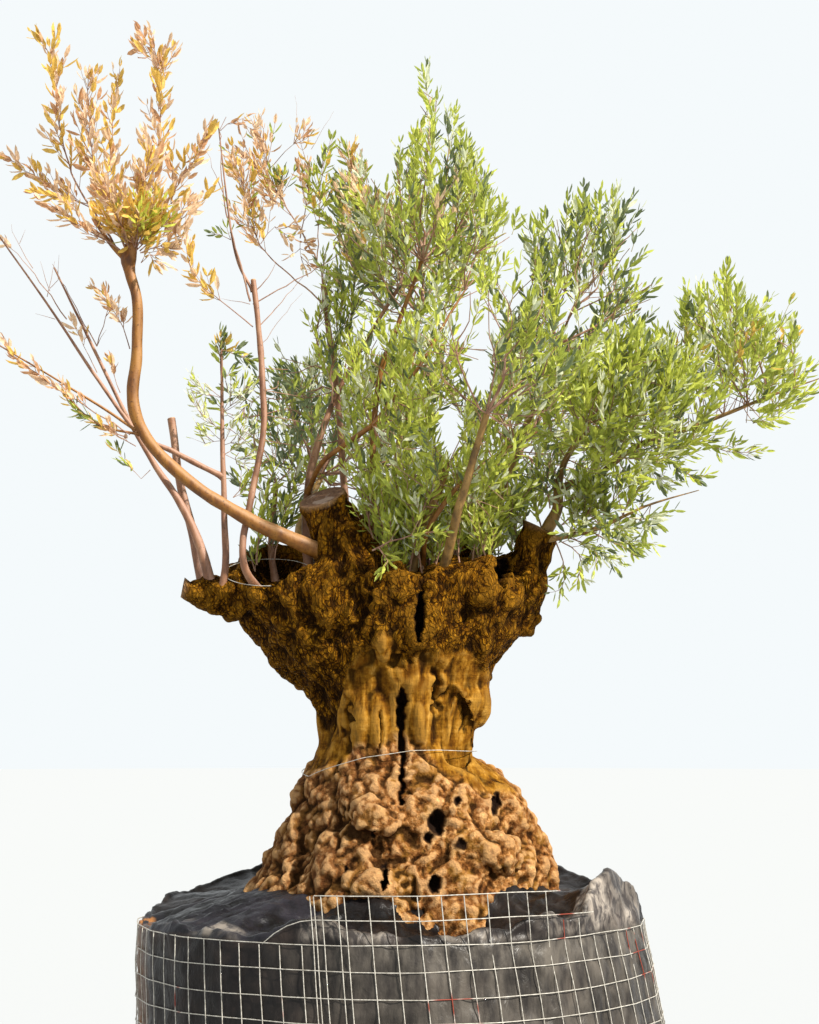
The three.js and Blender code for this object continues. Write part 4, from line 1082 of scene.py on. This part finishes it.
# heights that the foliage keeps between, by place across the front; openings to the sky, as middle and
# half size; and the boughs that leaves hardly cover
outline = {
    "high": ((-0.62, 2.90), (-0.40, 2.94), (-0.33, 3.24), (-0.27, 3.62), (-0.12, 3.70), (0.00, 3.70),
             (0.06, 3.80), (0.10, 3.97), (0.13, 4.07), (0.16, 4.04), (0.20, 3.88), (0.27, 3.80), (0.33, 3.70),
             (0.37, 3.54), (0.44, 3.48), (0.60, 3.55), (0.78, 3.58), (0.90, 3.48), (0.94, 3.32), (0.98, 3.13),
             (1.08, 3.18), (1.17, 3.31), (1.30, 3.19), (1.46, 3.07), (1.58, 3.02)),
    "low": ((-0.62, 2.30), (-0.30, 2.16), (0.50, 2.14), (0.60, 2.12), (0.68, 2.20), (0.85, 2.22),
            (0.96, 2.34), (1.11, 2.43), (1.20, 2.56), (1.36, 2.62), (1.42, 2.75), (1.56, 2.86)),
    "openings": (((0.30, 3.08), (0.115, 0.10)), ((0.21, 2.70), (0.05, 0.09)), ((0.455, 3.28), (0.06, 0.16)),
                 ((-0.07, 3.40), (0.03, 0.04)), ((0.31, 2.90), (0.08, 0.09)), ((0.65, 3.10), (0.05, 0.06)),
                 ((1.08, 2.79), (0.06, 0.04)), ((-0.33, 3.02), (0.06, 0.08)), ((0.38, 2.66), (0.05, 0.05)),
                 ((-0.01, 3.60), (0.05, 0.07)), ((0.88, 3.32), (0.06, 0.07))),
    "behind": 1.04, "seen": ["red_bough", "diagonal_bough", "pink_bough", "hooked_bough"],
    "seenWidth": 0.024,
}
# of these mixes, the one for the rear masses deals out more deep green leaves (painted shade), and the one
# for the centre and right more bright green ones (painted light)
green = {"brightLeaves": 5, "freshLeaves": 6, "deepLeaves": 3, "silverLeaves": 2.5}
shady = {"brightLeaves": 3, "freshLeaves": 5, "deepLeaves": 4, "silverLeaves": 3}
mostlyLit = {"brightLeaves": 8, "freshLeaves": 6, "deepLeaves": 1.5, "silverLeaves": 3}
turning = {"freshLeaves": 3, "deepLeaves": 2, "silverLeaves": 2, "tanLeaves": 3, "ochreLeaves": 1}
groups = [
    {"limbs": ["rear_bough", "red_bough", "diagonal_bough"], "masses": ["top_crown", "peak"],
     "shoots": 0.75, "length": 0.25, "sweep": (0.0, 0.0, 1.3), "tints": green | {"tanLeaves": 0.25},
     "dryLeftOf": -0.04},
    {"limbs": ["inner_left_bough", "pink_bough", "hooked_bough"], "masses": ["inner_left"],
     "shoots": 0.42, "length": 0.18, "sweep": (-0.1, 0.0, 0.7),
     "tints": {"freshLeaves": 3, "deepLeaves": 5, "silverLeaves": 1}},
    {"limbs": ["centre_bough", "red_bough", "rear_bough", "golden_bough", "diagonal_bough"],
     "masses": ["centre"], "shoots": 1.15, "length": 0.26, "sweep": (0.0, -0.1, 1.2), "tints": mostlyLit},
    {"limbs": ["front_bough"], "masses": ["front"],
     "shoots": 1.15, "length": 0.25, "sweep": (0.1, 0.0, 1.2), "tints": green},
    {"limbs": ["upper_right_bough"], "masses": ["right_top"],
     "shoots": 0.95, "length": 0.23, "sweep": (0.1, 0.0, 1.2),
     "tints": {"brightLeaves": 3, "freshLeaves": 5, "deepLeaves": 7, "silverLeaves": 2}},
    {"limbs": ["right_bough", "long_right_bough", "limb_leader"], "masses": ["right_middle"],
     "shoots": 2.0, "length": 0.26, "sweep": (0.25, 0.0, 1.0), "tints": mostlyLit},
    {"limbs": ["long_right_bough"], "masses": ["far_right"],
     "shoots": 1.5, "length": 0.25, "sweep": (0.35, 0.0, 1.1), "tints": mostlyLit | {"ochreLeaves": 0.5}},
    {"limbs": ["low_right_bough"], "masses": ["right_low"],
     "shoots": 3.4, "length": 0.20, "sweep": (0.4, 0.0, 0.1), "tints": green},
    {"limbs": ["rear_left_bough"], "masses": ["rear_left"],
     "shoots": 0.9, "length": 0.25, "sweep": (-0.1, 0.1, 1.0), "tints": shady},
    {"limbs": ["rear_right_bough"], "masses": ["rear_right"],
     "shoots": 0.9, "length": 0.25, "sweep": (0.1, 0.1, 1.0), "tints": shady},
    {"limbs": ["rear_top_bough"], "masses": ["rear_top"],
     "shoots": 0.9, "length": 0.25, "sweep": (0.0, 0.1, 1.2), "tints": green},
]


def depthInside(surface, place):  # metres below the surface of a mass, negative outside it
    near, facing, _, far = surface.find_nearest(Vector(place))
    return far if (Vector(place) - near).dot(facing) < 0 else -far


def roomAt(places):  # how far inside the outline each place is, and which places are clear of the openings
    eye = np.array(view["place"])
    seen = eye + (places - eye) * (eye[1] / (eye[1] - places[:, 1:2]))
    across, up = seen[:, 0], seen[:, 2]
    highest, lowest = (np.interp(across, *np.transpose(outline[key])) for key in ("high", "low"))
    room = np.minimum(highest - up, up - lowest)
    room = np.minimum(room, outline["behind"] - places[:, 1])
    clear = np.ones(len(places), dtype=bool)
    for middle, half in outline["openings"]:
        clear &= ((across - middle[0]) / half[0]) ** 2 + ((up - middle[1]) / half[1]) ** 2 > 1
    for name in outline["seen"]:
        line = smoothPath(boughs[name], 0.05)
        near = np.hypot(places[:, :1] - line[:, 0], places[:, 2:] - line[:, 2]) < outline["seenWidth"]
        clear &= ~(near & (places[:, 1:2] < line[:, 1])).any(axis=1)
    return room, clear


def growingPoints(name, surface, chance):  # scattered through a mass in clumps, thicker towards its surface
    low, high = (np.array(corner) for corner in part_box("foliage_" + name))
    number = int(np.prod(high - low) / crown["spacing"] ** 3 * crown["tries"])
    tries = chance.uniform(low, high, (number, 3))
    room, clear = roomAt(tries)
    found = []
    for place in tries[(room > crown["margin"]) & (clear | (chance.random(len(tries)) < crown["bold"]))]:
        depth = depthInside(surface, place)
        if depth < crown["cover"] or noise.noise(Vector(place) / crown["clump"]) < crown["gaps"]:
            continue
        if chance.random() > crown["core"] + crown["shell"] * np.exp(-depth / crown["shellDepth"]):
            continue
        away = np.linalg.norm(np.array(found) - place, axis=1).min() if found else np.inf
        if away < crown["spacing"] * crown["closest"]:
            continue
        found.append(place)
    return np.array(found), *(np.tile(size / 2, (len(found), 1)) for size in (low + high, high - low))


def growTree(starts, targets):  # joins each target to the nearest wood, favouring short ways from the bough
    places = np.vstack([starts, targets])
    path, parent = np.zeros(len(places)), np.full(len(places), -1)
    cost, waiting = np.full(len(places), np.inf), np.arange(len(places)) >= len(starts)
    order = []

    def offerFrom(point):
        away = np.linalg.norm(places - places[point], axis=1)
        offer = away + crown["balance"] * path[point]
        better = waiting & (offer < cost) & (away < crown["reach"])
        cost[better], parent[better] = offer[better], point

    for start in range(len(starts)):
        offerFrom(start)
    while (waiting & (parent >= 0)).any():
        new = int(np.where(waiting, cost, np.inf).argmin())
        waiting[new] = False
        order.append(new)
        path[new] = path[parent[new]] + np.linalg.norm(places[new] - places[parent[new]])
        offerFrom(new)
    return places, parent, order


def branchesOf(places, parent, order, startRadius, chance):  # chains of growing points with their radii
    load, children = np.ones(len(places)), {}
    for point in reversed(order):
        children.setdefault(parent[point], []).append(point)
        load[parent[point]] += load[point]
    radius = crown["tipRadius"] * load ** (1 / crown["thickening"])
    radius[:len(startRadius)] = startRadius
    paths = []
    for point in children:
        offspring = sorted(children[point], key=lambda p: -load[p])
        for child in offspring if point < len(startRadius) else offspring[1:]:
            chain = [point, child]
            while children.get(chain[-1]):
                chain.append(max(children[chain[-1]], key=lambda p: load[p]))
            shaken = chance.normal(0, 0.007, (len(chain), 3)) * (np.arange(len(chain)) > 0)[:, None]
            thick = np.minimum(radius[chain], np.r_[radius[child] * 1.2, radius[chain[1:]]])
            line = smoothPath(np.c_[places[chain] + shaken, thick], 0.035)
            paths.append((line[:, :3], np.maximum(line[:, 3], 0.001)))
    return paths


def shootsFrom(points, heading, centres, halves, plan, chance):  # leafy shoots at the growing points
    number = np.floor(plan["shoots"] + chance.random(len(points))).astype(int)
    base = np.repeat(points, number, axis=0)
    outward = unit((base - np.repeat(centres, number, axis=0)) / np.repeat(halves, number, axis=0) ** 1.5)
    way = 0.5 * np.repeat(heading, number, axis=0) + 0.45 * outward
    way = way + chance.normal(0, 0.38, base.shape) + plan["sweep"]
    bend = chance.normal(0, 0.2, base.shape) + 0.3 * np.array(plan["sweep"])
    reach = (plan["length"] * chance.uniform(0.55, 1.35, len(base)))[:, None, None]
    steps = shootSteps[None]
    return base[:, None] + unit(way)[:, None] * reach * steps + bend[:, None] * reach * steps**2 * 0.5


def fitted(shoot, surfaces, chance):  # a shoot cut back until its tip keeps to the crown, or None
    bold, edge = chance.random() < crown["bold"], chance.normal(0.0, crown["uneven"])
    for share in (1, 0.7, 0.45, 0.3):
        points = shoot[0] + (shoot - shoot[0]) * share
        room, clear = roomAt(points[-2:])
        inside = max(depthInside(surface, points[-1]) for surface in surfaces)
        if room[-1] > edge and (clear.all() or bold) and inside > -crown["slack"]:
            return points
    return None


def growCrown(chance):
    branches, twigs, shoots = [], [], []
    for plan in groups:
        surfaces = [surfaceOf(copyOf(["foliage_" + name])) for name in plan["masses"]]
        found = [growingPoints(name, surface, chance) for name, surface in zip(plan["masses"], surfaces)]
        targets, centres, halves = (np.vstack(parts) for parts in zip(*found))
        starts, radii = [], []
        for name in plan["limbs"]:
            line = smoothPath(boughs[name], 0.07)
            close = np.array([np.linalg.norm(targets - point, axis=1).min() < 0.22 for point in line[:, :3]])
            close[-1] = True
            starts.append(line[close, :3])
            radii.append(line[close, 3])
        starts, radii = np.vstack(starts), np.concatenate(radii)
        places, parent, order = growTree(starts, targets)
        branches += branchesOf(places, parent, order, radii, chance)
        grown = np.array(sorted(order)) - len(starts)
        heading = unit(places - places[np.maximum(parent, 0)])[len(starts):][grown]
        count = 0
        for shoot in shootsFrom(targets[grown], heading, centres[grown], halves[grown], plan, chance):
            points = fitted(shoot, surfaces, chance)
            if points is not None:
                count += 1
                twigs.append((points, 0.0015 - 0.0008 * shootSteps[:, 0]))
                tints = turning if points[0][0] < plan.get("dryLeftOf", -9) else plan["tints"]
                shoots.append((points, 0.05, pickKinds(tints, chance), tints, 1.0, 1.0))
        print("  crown", plan["masses"], len(grown), "of", len(targets), "points,", count, "shoots")
    return branches, twigs, shoots


# root ball: black film gathered up to the trunk, and the wire mesh round it

film = {
    "columns": 440, "wallStep": 0.0145, "wallTop": 0.985, "lip": 0.016, "drapeRows": 26, "tuck": 0.015,
    "pillow": 0.004, "crease": 0.008, "crumple": 0.020, "gather": 0.020,
    # height of the rim, and of the edge against the trunk, by angle in degrees round from the right
    "rim": [(5, 1.05), (20, 1.06), (45, 1.13), (90, 1.15), (118, 1.15), (132, 1.10), (146, 1.045),
            (160, 1.035), (172, 1.00), (186, 0.985), (200, 0.99), (214, 1.015), (225, 1.008), (238, 1.003),
            (245, 1.02), (250, 1.050), (256, 1.080), (262, 1.025), (272, 1.015), (280, 1.005), (288, 1.018),
            (297, 1.025), (304, 1.050), (309, 1.070), (314, 1.035), (319, 1.06), (326, 1.14), (334, 1.18),
            (342, 1.15), (352, 1.08)],
    "edge": [(0, 1.10), (90, 1.12), (150, 1.10), (180, 1.11), (215, 1.12), (232, 1.115), (245, 1.11),
             (256, 1.105), (266, 1.11), (275, 1.10), (283, 1.06), (290, 1.005), (297, 0.985), (303, 1.03),
             (309, 1.10), (320, 1.15), (340, 1.12)],
    "trough": [(0, 0.05), (40, 0.04), (120, 0.04), (180, 0.02), (228, 0.015), (240, 0.08), (256, 0.10),
               (300, 0.09), (318, 0.06)],
}
wireMesh = {
    "square": 0.075, "rowStep": 0.0785, "rows": 13, "wire": 0.0017, "standOff": 0.007, "top": 0.992,
    "lean": 0.11, "looseFrom": -104.5, "looseTo": -39, "looseTopTo": -50,
}
wireColumns = round(2 * pi * 0.885 / wireMesh["square"])  # round the ball's mean radius


def byAngle(table, angles):
    degrees, values = zip(*table)
    return np.interp(np.degrees(angles) % 360, degrees, values, period=360)


def hitRadius(surface, angle, z, middle=(0, 0)):  # from the middle to a surface that is met from outside
    way = Vector((cos(angle), sin(angle), 0))
    centre = Vector((*middle, z))
    hit = surface.ray_cast(centre + way * 1.5, -way)[0]
    return (hit - centre).length if hit else 0.0


def makeFilm(ball, trunk):
    columns, top = film["columns"], film["wallTop"]
    angles = np.linspace(0, 2 * pi, columns, endpoint=False)
    outwards = np.c_[np.cos(angles), np.sin(angles), np.zeros(columns)]
    up = np.array((0, 0, 1.0))
    rim = byAngle(film["rim"], angles) + 0.012 * noiseAt(outwards, 0.09, 31)
    edge = byAngle(film["edge"], angles) + 0.012 * noiseAt(outwards, 0.12, 32)
    trough = byAngle(film["trough"], angles)
    rings = [outwards * 0.02]
    for z in np.linspace(0.0, top, int(top / film["wallStep"])):
        radius = np.array([hitRadius(ball, a, min(max(z, 0.004), top - 0.002)) for a in angles])
        rings.append(outwards * radius[:, None] + up * z)
    wall = rings[-1]
    slant = 0.012 + 0.25 * np.clip(rim - 1.06, 0, 1)  # the rim leans in where it stands high
    for share in np.linspace(0.12, 1, 9):
        rings.append(wall - outwards * (slant * share)[:, None] + np.outer((rim - top) * share, up))
    crest = rings[-1]
    for turn in np.linspace(0.25, 1, 4) * pi:
        rings.append(crest - outwards * film["lip"] * (1 - cos(turn)) / 2 + up * film["lip"] * sin(turn) / 2)
    inner = rings[-1]
    bark = np.array([hitRadius(trunk, a, z, trunkMiddle) for a, z in zip(angles, edge)])
    goal = outwards * (bark - film["tuck"])[:, None] + (*trunkMiddle, 0) + np.outer(edge, up)
    folds = np.clip(1 - 2.2 * np.abs(noiseAt(outwards, 0.10, 37)), -0.6, 1)
    for share in np.linspace(0, 1, film["drapeRows"] + 1)[1:]:
        ring = inner + (goal - inner) * share
        sag = -trough * sin(pi * share) ** 0.6 + film["gather"] * folds * sin(pi * share**0.8)
        rings.append(ring + np.outer(sag, up))
    rings += [goal - outwards * 0.08 - up * 0.10, outwards * 0.05 + up * (soilLevel - 0.03)]
    shape = bmesh.new()
    bmesh.ops.create_grid(shape, x_segments=columns, y_segments=len(rings) - 1, size=1)
    for vertex in shape.verts:
        column, row = round((vertex.co.x + 1) / 2 * columns), round((vertex.co.y + 1) / 2 * (len(rings) - 1))
        vertex.co = rings[row][column % columns]
    bmesh.ops.remove_doubles(shape, verts=shape.verts, dist=1e-6)
    bmesh.ops.holes_fill(shape, edges=[e for e in shape.edges if e.is_boundary], sides=0)
    bmesh.ops.recalc_face_normals(shape, faces=shape.faces)
    wrap = meshFrom("film", shape)
    places, outward = coordinates(wrap), normals(wrap)
    angle, height = np.arctan2(places[:, 1], places[:, 0]), places[:, 2]
    radius = np.hypot(places[:, 0], places[:, 1])
    across = np.abs(np.sin(angle * wireColumns / 2))
    upward = np.abs(np.sin((wireMesh["top"] - height) * pi / wireMesh["rowStep"]))
    right = smoothstep(-0.1, 0.7, np.cos(angle + 0.5))
    left = smoothstep(0.5, 0.95, np.cos(angle - pi + 0.1))
    wall = (radius > 0.80) & (height < top + 0.005)
    rimZone = smoothstep(top - 0.12, top + 0.02, height)
    crease = np.clip(1 - 2.6 * np.abs(noiseAt(places * (1, 1, 0.35), 0.055, 33)), -0.4, 1)
    slant = np.clip(1 - 2.4 * np.abs(noiseAt(places + 0.5 * height[:, None], 0.11, 34)), -0.3, 1)
    crumple = 1 - 2 * np.abs(noiseAt(places, 0.10, 35)) + 0.5 * (1 - 2 * np.abs(noiseAt(places, 0.042, 36)))
    wallMove = film["pillow"] * np.sqrt(across * upward)
    wallMove = wallMove + film["crease"] * crease * (0.3 + 0.6 * right) - 0.006
    wallMove += film["crease"] * 0.6 * slant
    rimMove = film["crumple"] * (crumple - 0.5) * (0.5 + 0.1 * right)
    move = wallMove * wall * (1 - rimZone) + rimMove * rimZone * smoothstep(0.35, 0.55, radius)
    places += outward * (move * smoothstep(0.0, 0.05, height))[:, None]
    places[:, 2] = np.maximum(places[:, 2], 0)
    moveTo(wrap, places)
    torn = smoothstep(-0.05, 0.25, noiseAt(places, 0.16, 38) + 0.25 * noiseAt(places, 0.05, 39))
    front = smoothstep(0.1, 0.4, np.cos(angle - radians(292)))
    flap = smoothstep(0.88, 0.97, np.cos(angle - radians(328)))
    upper = smoothstep(0.985, 1.02, height) * (radius > 0.77)
    # pale: a grey-beige flap of film, and painted highlights on the crumpled top at the front
    paint(wrap, "pale", np.clip(upper * front * (0.6 * torn + 0.4 * flap), 0, 1))
    paint(wrap, "dust", np.clip(right, 0, 1) * wall * (0.62 + 0.38 * smoothstep(0.84, 0.97, height)))
    ragged = np.cos(angle - radians(189)) + 0.03 * noiseAt(places * (1, 1, 0.3), 0.07, 51)
    paint(wrap, "earth", np.clip(left * wall * (0.35 + torn) * smoothstep(0.945, 0.99, ragged), 0, 1))
    # painted reflection: a faint bluish sheen of the sky on the inner drape at the left, where it lies in
    # shade
    shaded = smoothstep(0.55, 0.9, np.cos(angle - radians(215)))
    paint(wrap, "blue", (radius < 0.86) * (height > 0.985) * shaded)
    return wrap


def finishFilm():
    finish = Finish("filmWrap", Specular_IOR_Level=0.18)
    pale, dust = finish.attribute("pale"), finish.attribute("dust")
    earth, blue = finish.attribute("earth"), finish.attribute("blue")
    cloud = finish.noise(5, 5, 0.65)
    streak = finish.noise(24, 4, 0.6, finish.stretched((1, 1, 0.25)))
    wrinkle = finish.noise(30, 4, 0.6, finish.stretched((1, 1, 0.5)), 0.6)
    black = finish.ramp(cloud, (0.38, (0.005, 0.004, 0.004)), (0.52, (0.012, 0.009, 0.008)),
                        (0.66, (0.030, 0.021, 0.017)))
    grey = finish.ramp(streak, (0.36, (0.032, 0.028, 0.025)), (0.62, (0.115, 0.100, 0.082)))
    colour = finish.mix(dust * cloud.fade(0.30, 0.56, 0.35, 0.95), black, grey)
    # painted reflection of the sky on the black film
    skySheenColour = finish.ramp(cloud, (0.45, (0.004, 0.004, 0.004)), (0.66, (0.015, 0.016, 0.026)))
    # pale plastic with painted highlights on its crumples
    paleAndHighlit = finish.ramp(wrinkle, (0.42, (0.07, 0.060, 0.055)), (0.60, (0.36, 0.31, 0.26)))
    colour = finish.mix(blue * 0.7, colour, skySheenColour)
    colour = finish.mix(pale * 0.85, colour, paleAndHighlit)
    colour = finish.mix(earth * 0.9, colour, (0.26, 0.110, 0.032))
    finish.feed(Base_Color=colour, Roughness=cloud.fade(0.38, 0.66, 0.30, 0.48))
    finish.relief(wrinkle, 0.010, 0.6)
    return finish


def makeWireMesh(ball):
    square, top = wireMesh["square"], wireMesh["top"]

    def at(angle, z):
        radius = hitRadius(ball, angle, min(max(z, 0.01), 0.98)) + wireMesh["standOff"]
        radius += 0.004 * noise.noise(Vector((angle * 3, z * 6, 1)))
        dip = 0.007 * noise.noise(Vector((angle * 2.2, z * 9, 5)))
        return radius * cos(angle), radius * sin(angle), z + dip

    def upright(angle, low, high):
        heights = np.arange(low, high + 0.001, 0.03)
        sway = 0.012 * noise.noise(Vector((angle * 9, 3, 3)))
        return [at(angle + (wireMesh["lean"] + sway) * (top - z), z) for z in heights], wireMesh["wire"]

    first, last, topLast = (radians(wireMesh[key]) for key in ("looseFrom", "looseTo", "looseTopTo"))
    turn = np.linspace(0, 2 * pi, 280, endpoint=False)
    heights = [top - k * wireMesh["rowStep"] for k in range(wireMesh["rows"])]
    rows = [([at(a, height) for a in turn], wireMesh["wire"]) for height in heights]
    bars = []
    for column in range(wireColumns):
        angle = 2 * pi * column / wireColumns - pi
        loose = first < angle < last
        bars.append(upright(angle, 0.03, top + (2 * square if angle < topLast else square) * loose + 0.010))
    for angle in (first, first + 0.014, first + 0.10):
        bars.append(upright(angle, 0.75, top + 2 * square))
    for k, end in ((1, last), (2, topLast)):
        bars.append(([at(a, top + k * square) for a in np.linspace(first, end, 80)], wireMesh["wire"]))
    hook = [at(first - 0.05 * k, top + square * (1 - k * k / 16)) for k in range(5)]
    bars.append((hook, wireMesh["wire"]))
    return joined([tubes(rows, 1, True), tubes(bars, 1)])


def finishWire():
    finish = Finish("meshWire", Specular_IOR_Level=0.5, Metallic=0.25)
    patch, fine = finish.noise(4, 3), finish.noise(90, 3)
    zinc = finish.ramp(fine, (0.35, (0.30, 0.275, 0.23)), (0.65, (0.55, 0.52, 0.46)))
    colour = finish.mix(patch.fade(0.63, 0.68), zinc, (0.24, 0.035, 0.015))
    finish.feed(Base_Color=colour, Roughness=0.4 + fine * 0.3)
    finish.relief(fine, 0.001, 0.5)
    return finish


# two loops of thin wire, one round the waist and one lying in the left lobe

loops = {
    "wire": 0.0013, "lobe": ((-0.415, -0.090, 2.190), 0.155, 0.125), "lobeTilt": 0.055,
    "waist": [(0, 1.570), (60, 1.56), (150, 1.52), (205, 1.485), (250, 1.553), (282, 1.576), (303, 1.577),
              (330, 1.572)],  # height by angle
}


def makeLoops(trunk):
    angles = np.linspace(0, 2 * pi, 120, endpoint=False)
    heights = byAngle(loops["waist"], angles)
    radius = np.array([hitRadius(trunk, a, z, trunkMiddle) for a, z in zip(angles, heights)])
    near = np.stack([np.roll(radius, shift) for shift in range(-7, 8)])
    taut = np.stack([np.roll(near.max(axis=0), shift) for shift in range(-4, 5)]).mean(axis=0) + 0.004
    x, y = trunkMiddle
    waist = np.c_[x + taut * np.cos(angles), y + taut * np.sin(angles), heights]
    middle, wide, deep = loops["lobe"]
    tilt = loops["lobeTilt"]
    lobe = np.array(middle) + np.c_[wide * np.cos(angles), deep * np.sin(angles), tilt * np.sin(angles)]
    return tubes([(waist, loops["wire"]), (lobe, loops["wire"])], 1, True)


def makeFloor():
    shape = bmesh.new()
    bmesh.ops.create_circle(shape, cap_ends=True, segments=96, radius=lamps["floorReach"])
    floor = bpy.data.objects.new("floor", meshFrom("floor", shape))
    finish = Finish("floorPaint", Roughness=0.9, Specular_IOR_Level=0.0)
    finish.shader.inputs["Base Color"].default_value = (*lamps["floor"], 1)
    floor.data.materials.append(finish.material)
    bpy.context.scene.collection.objects.link(floor)


setCamera()
setLights()
makeFloor()
print("stage: camera, light and floor")

trunkSkin = makeOldWood()
addPiece("old_wood", trunkSkin, finishOldWood(), ["trunk", *stumps])
print("old wood:", len(trunkSkin.polygons), "faces")

barks = {  # dark, middle and light tone, and the painted highlight colour of what faces up towards the sun
    "arm": ((0.085, 0.026, 0.002), (0.175, 0.062, 0.004), (0.27, 0.115, 0.013), (0.37, 0.19, 0.075)),
    "young": ((0.095, 0.040, 0.018), (0.205, 0.088, 0.041), (0.30, 0.155, 0.08), (0.39, 0.225, 0.16)),
    "twig": ((0.15, 0.070, 0.040), (0.27, 0.140, 0.085), (0.38, 0.23, 0.15)),
    "inner": ((0.08, 0.042, 0.009), (0.18, 0.096, 0.020), (0.32, 0.185, 0.050)),
    "shoot": ((0.16, 0.13, 0.045), (0.27, 0.23, 0.08), (0.36, 0.31, 0.14)),
}
barkFinish = {kind: finishLimbs(kind + "Bark", *tones) for kind, tones in barks.items()}
for kind, chosen in limbs.items():
    standsFor = [node for name in chosen for node in boughNodes.get(name, [name])]
    addPiece(kind + "_bark", makeLimbs(chosen.values()), barkFinish[kind], standsFor)
addPiece("sawn_ends", makeSawnEnds(), finishSawnEnds(), smooth=False)
print("boughs:", len(boughs))

shape = bmesh.new()
shape.from_mesh(trunkSkin)
trunk = surfaceOf(shape)
chance = np.random.default_rng(crown["seed"])
branches, twigs, shoots = growCrown(chance)
stemPaths, stemShoots = growStems(trunk, chance)
shoots += stemShoots
leaves = leavesOn(shoots, chance)
print("crown:", len(branches), "branches,", len(shoots), "shoots,", len(leaves["size"]), "leaves")
addPiece("branches", tubes(branches + stemPaths, 1), barkFinish["twig"])
addPiece("shoots", tubes(twigs, 0), barkFinish["shoot"])
standsFor = {"tanLeaves": [], "ochreLeaves": [], "freshLeaves": []}
for name in massNames:
    kind = "tanLeaves" if "tuft" in name else "ochreLeaves" if "left_crown" in name else "freshLeaves"
    standsFor[kind].append(name)
for kind, plan in leafKinds.items():
    mine = {key: values[leaves["kind"] == kind] for key, values in leaves.items()}
    mesh = leafMesh(mine, plan["breadth"], plan["curl"], chance)
    finish = finishLeaves(kind, plan["colour"])
    addPiece(kind, mesh, finish, standsFor.get(kind, []), smooth=False)
    print(" ", kind, len(mesh.polygons), "faces")

ball = surfaceOf(copyOf(["root_ball"]))
addPiece("film_wrap", makeFilm(ball, trunk), finishFilm(), ["root_ball"])
wireFinish = finishWire()
addPiece("wire_mesh", makeWireMesh(ball), wireFinish, ["wire_cage", "loose_mesh"])
addPiece("wire_loops", makeLoops(trunk), wireFinish)
print("root ball, wire mesh and loops")
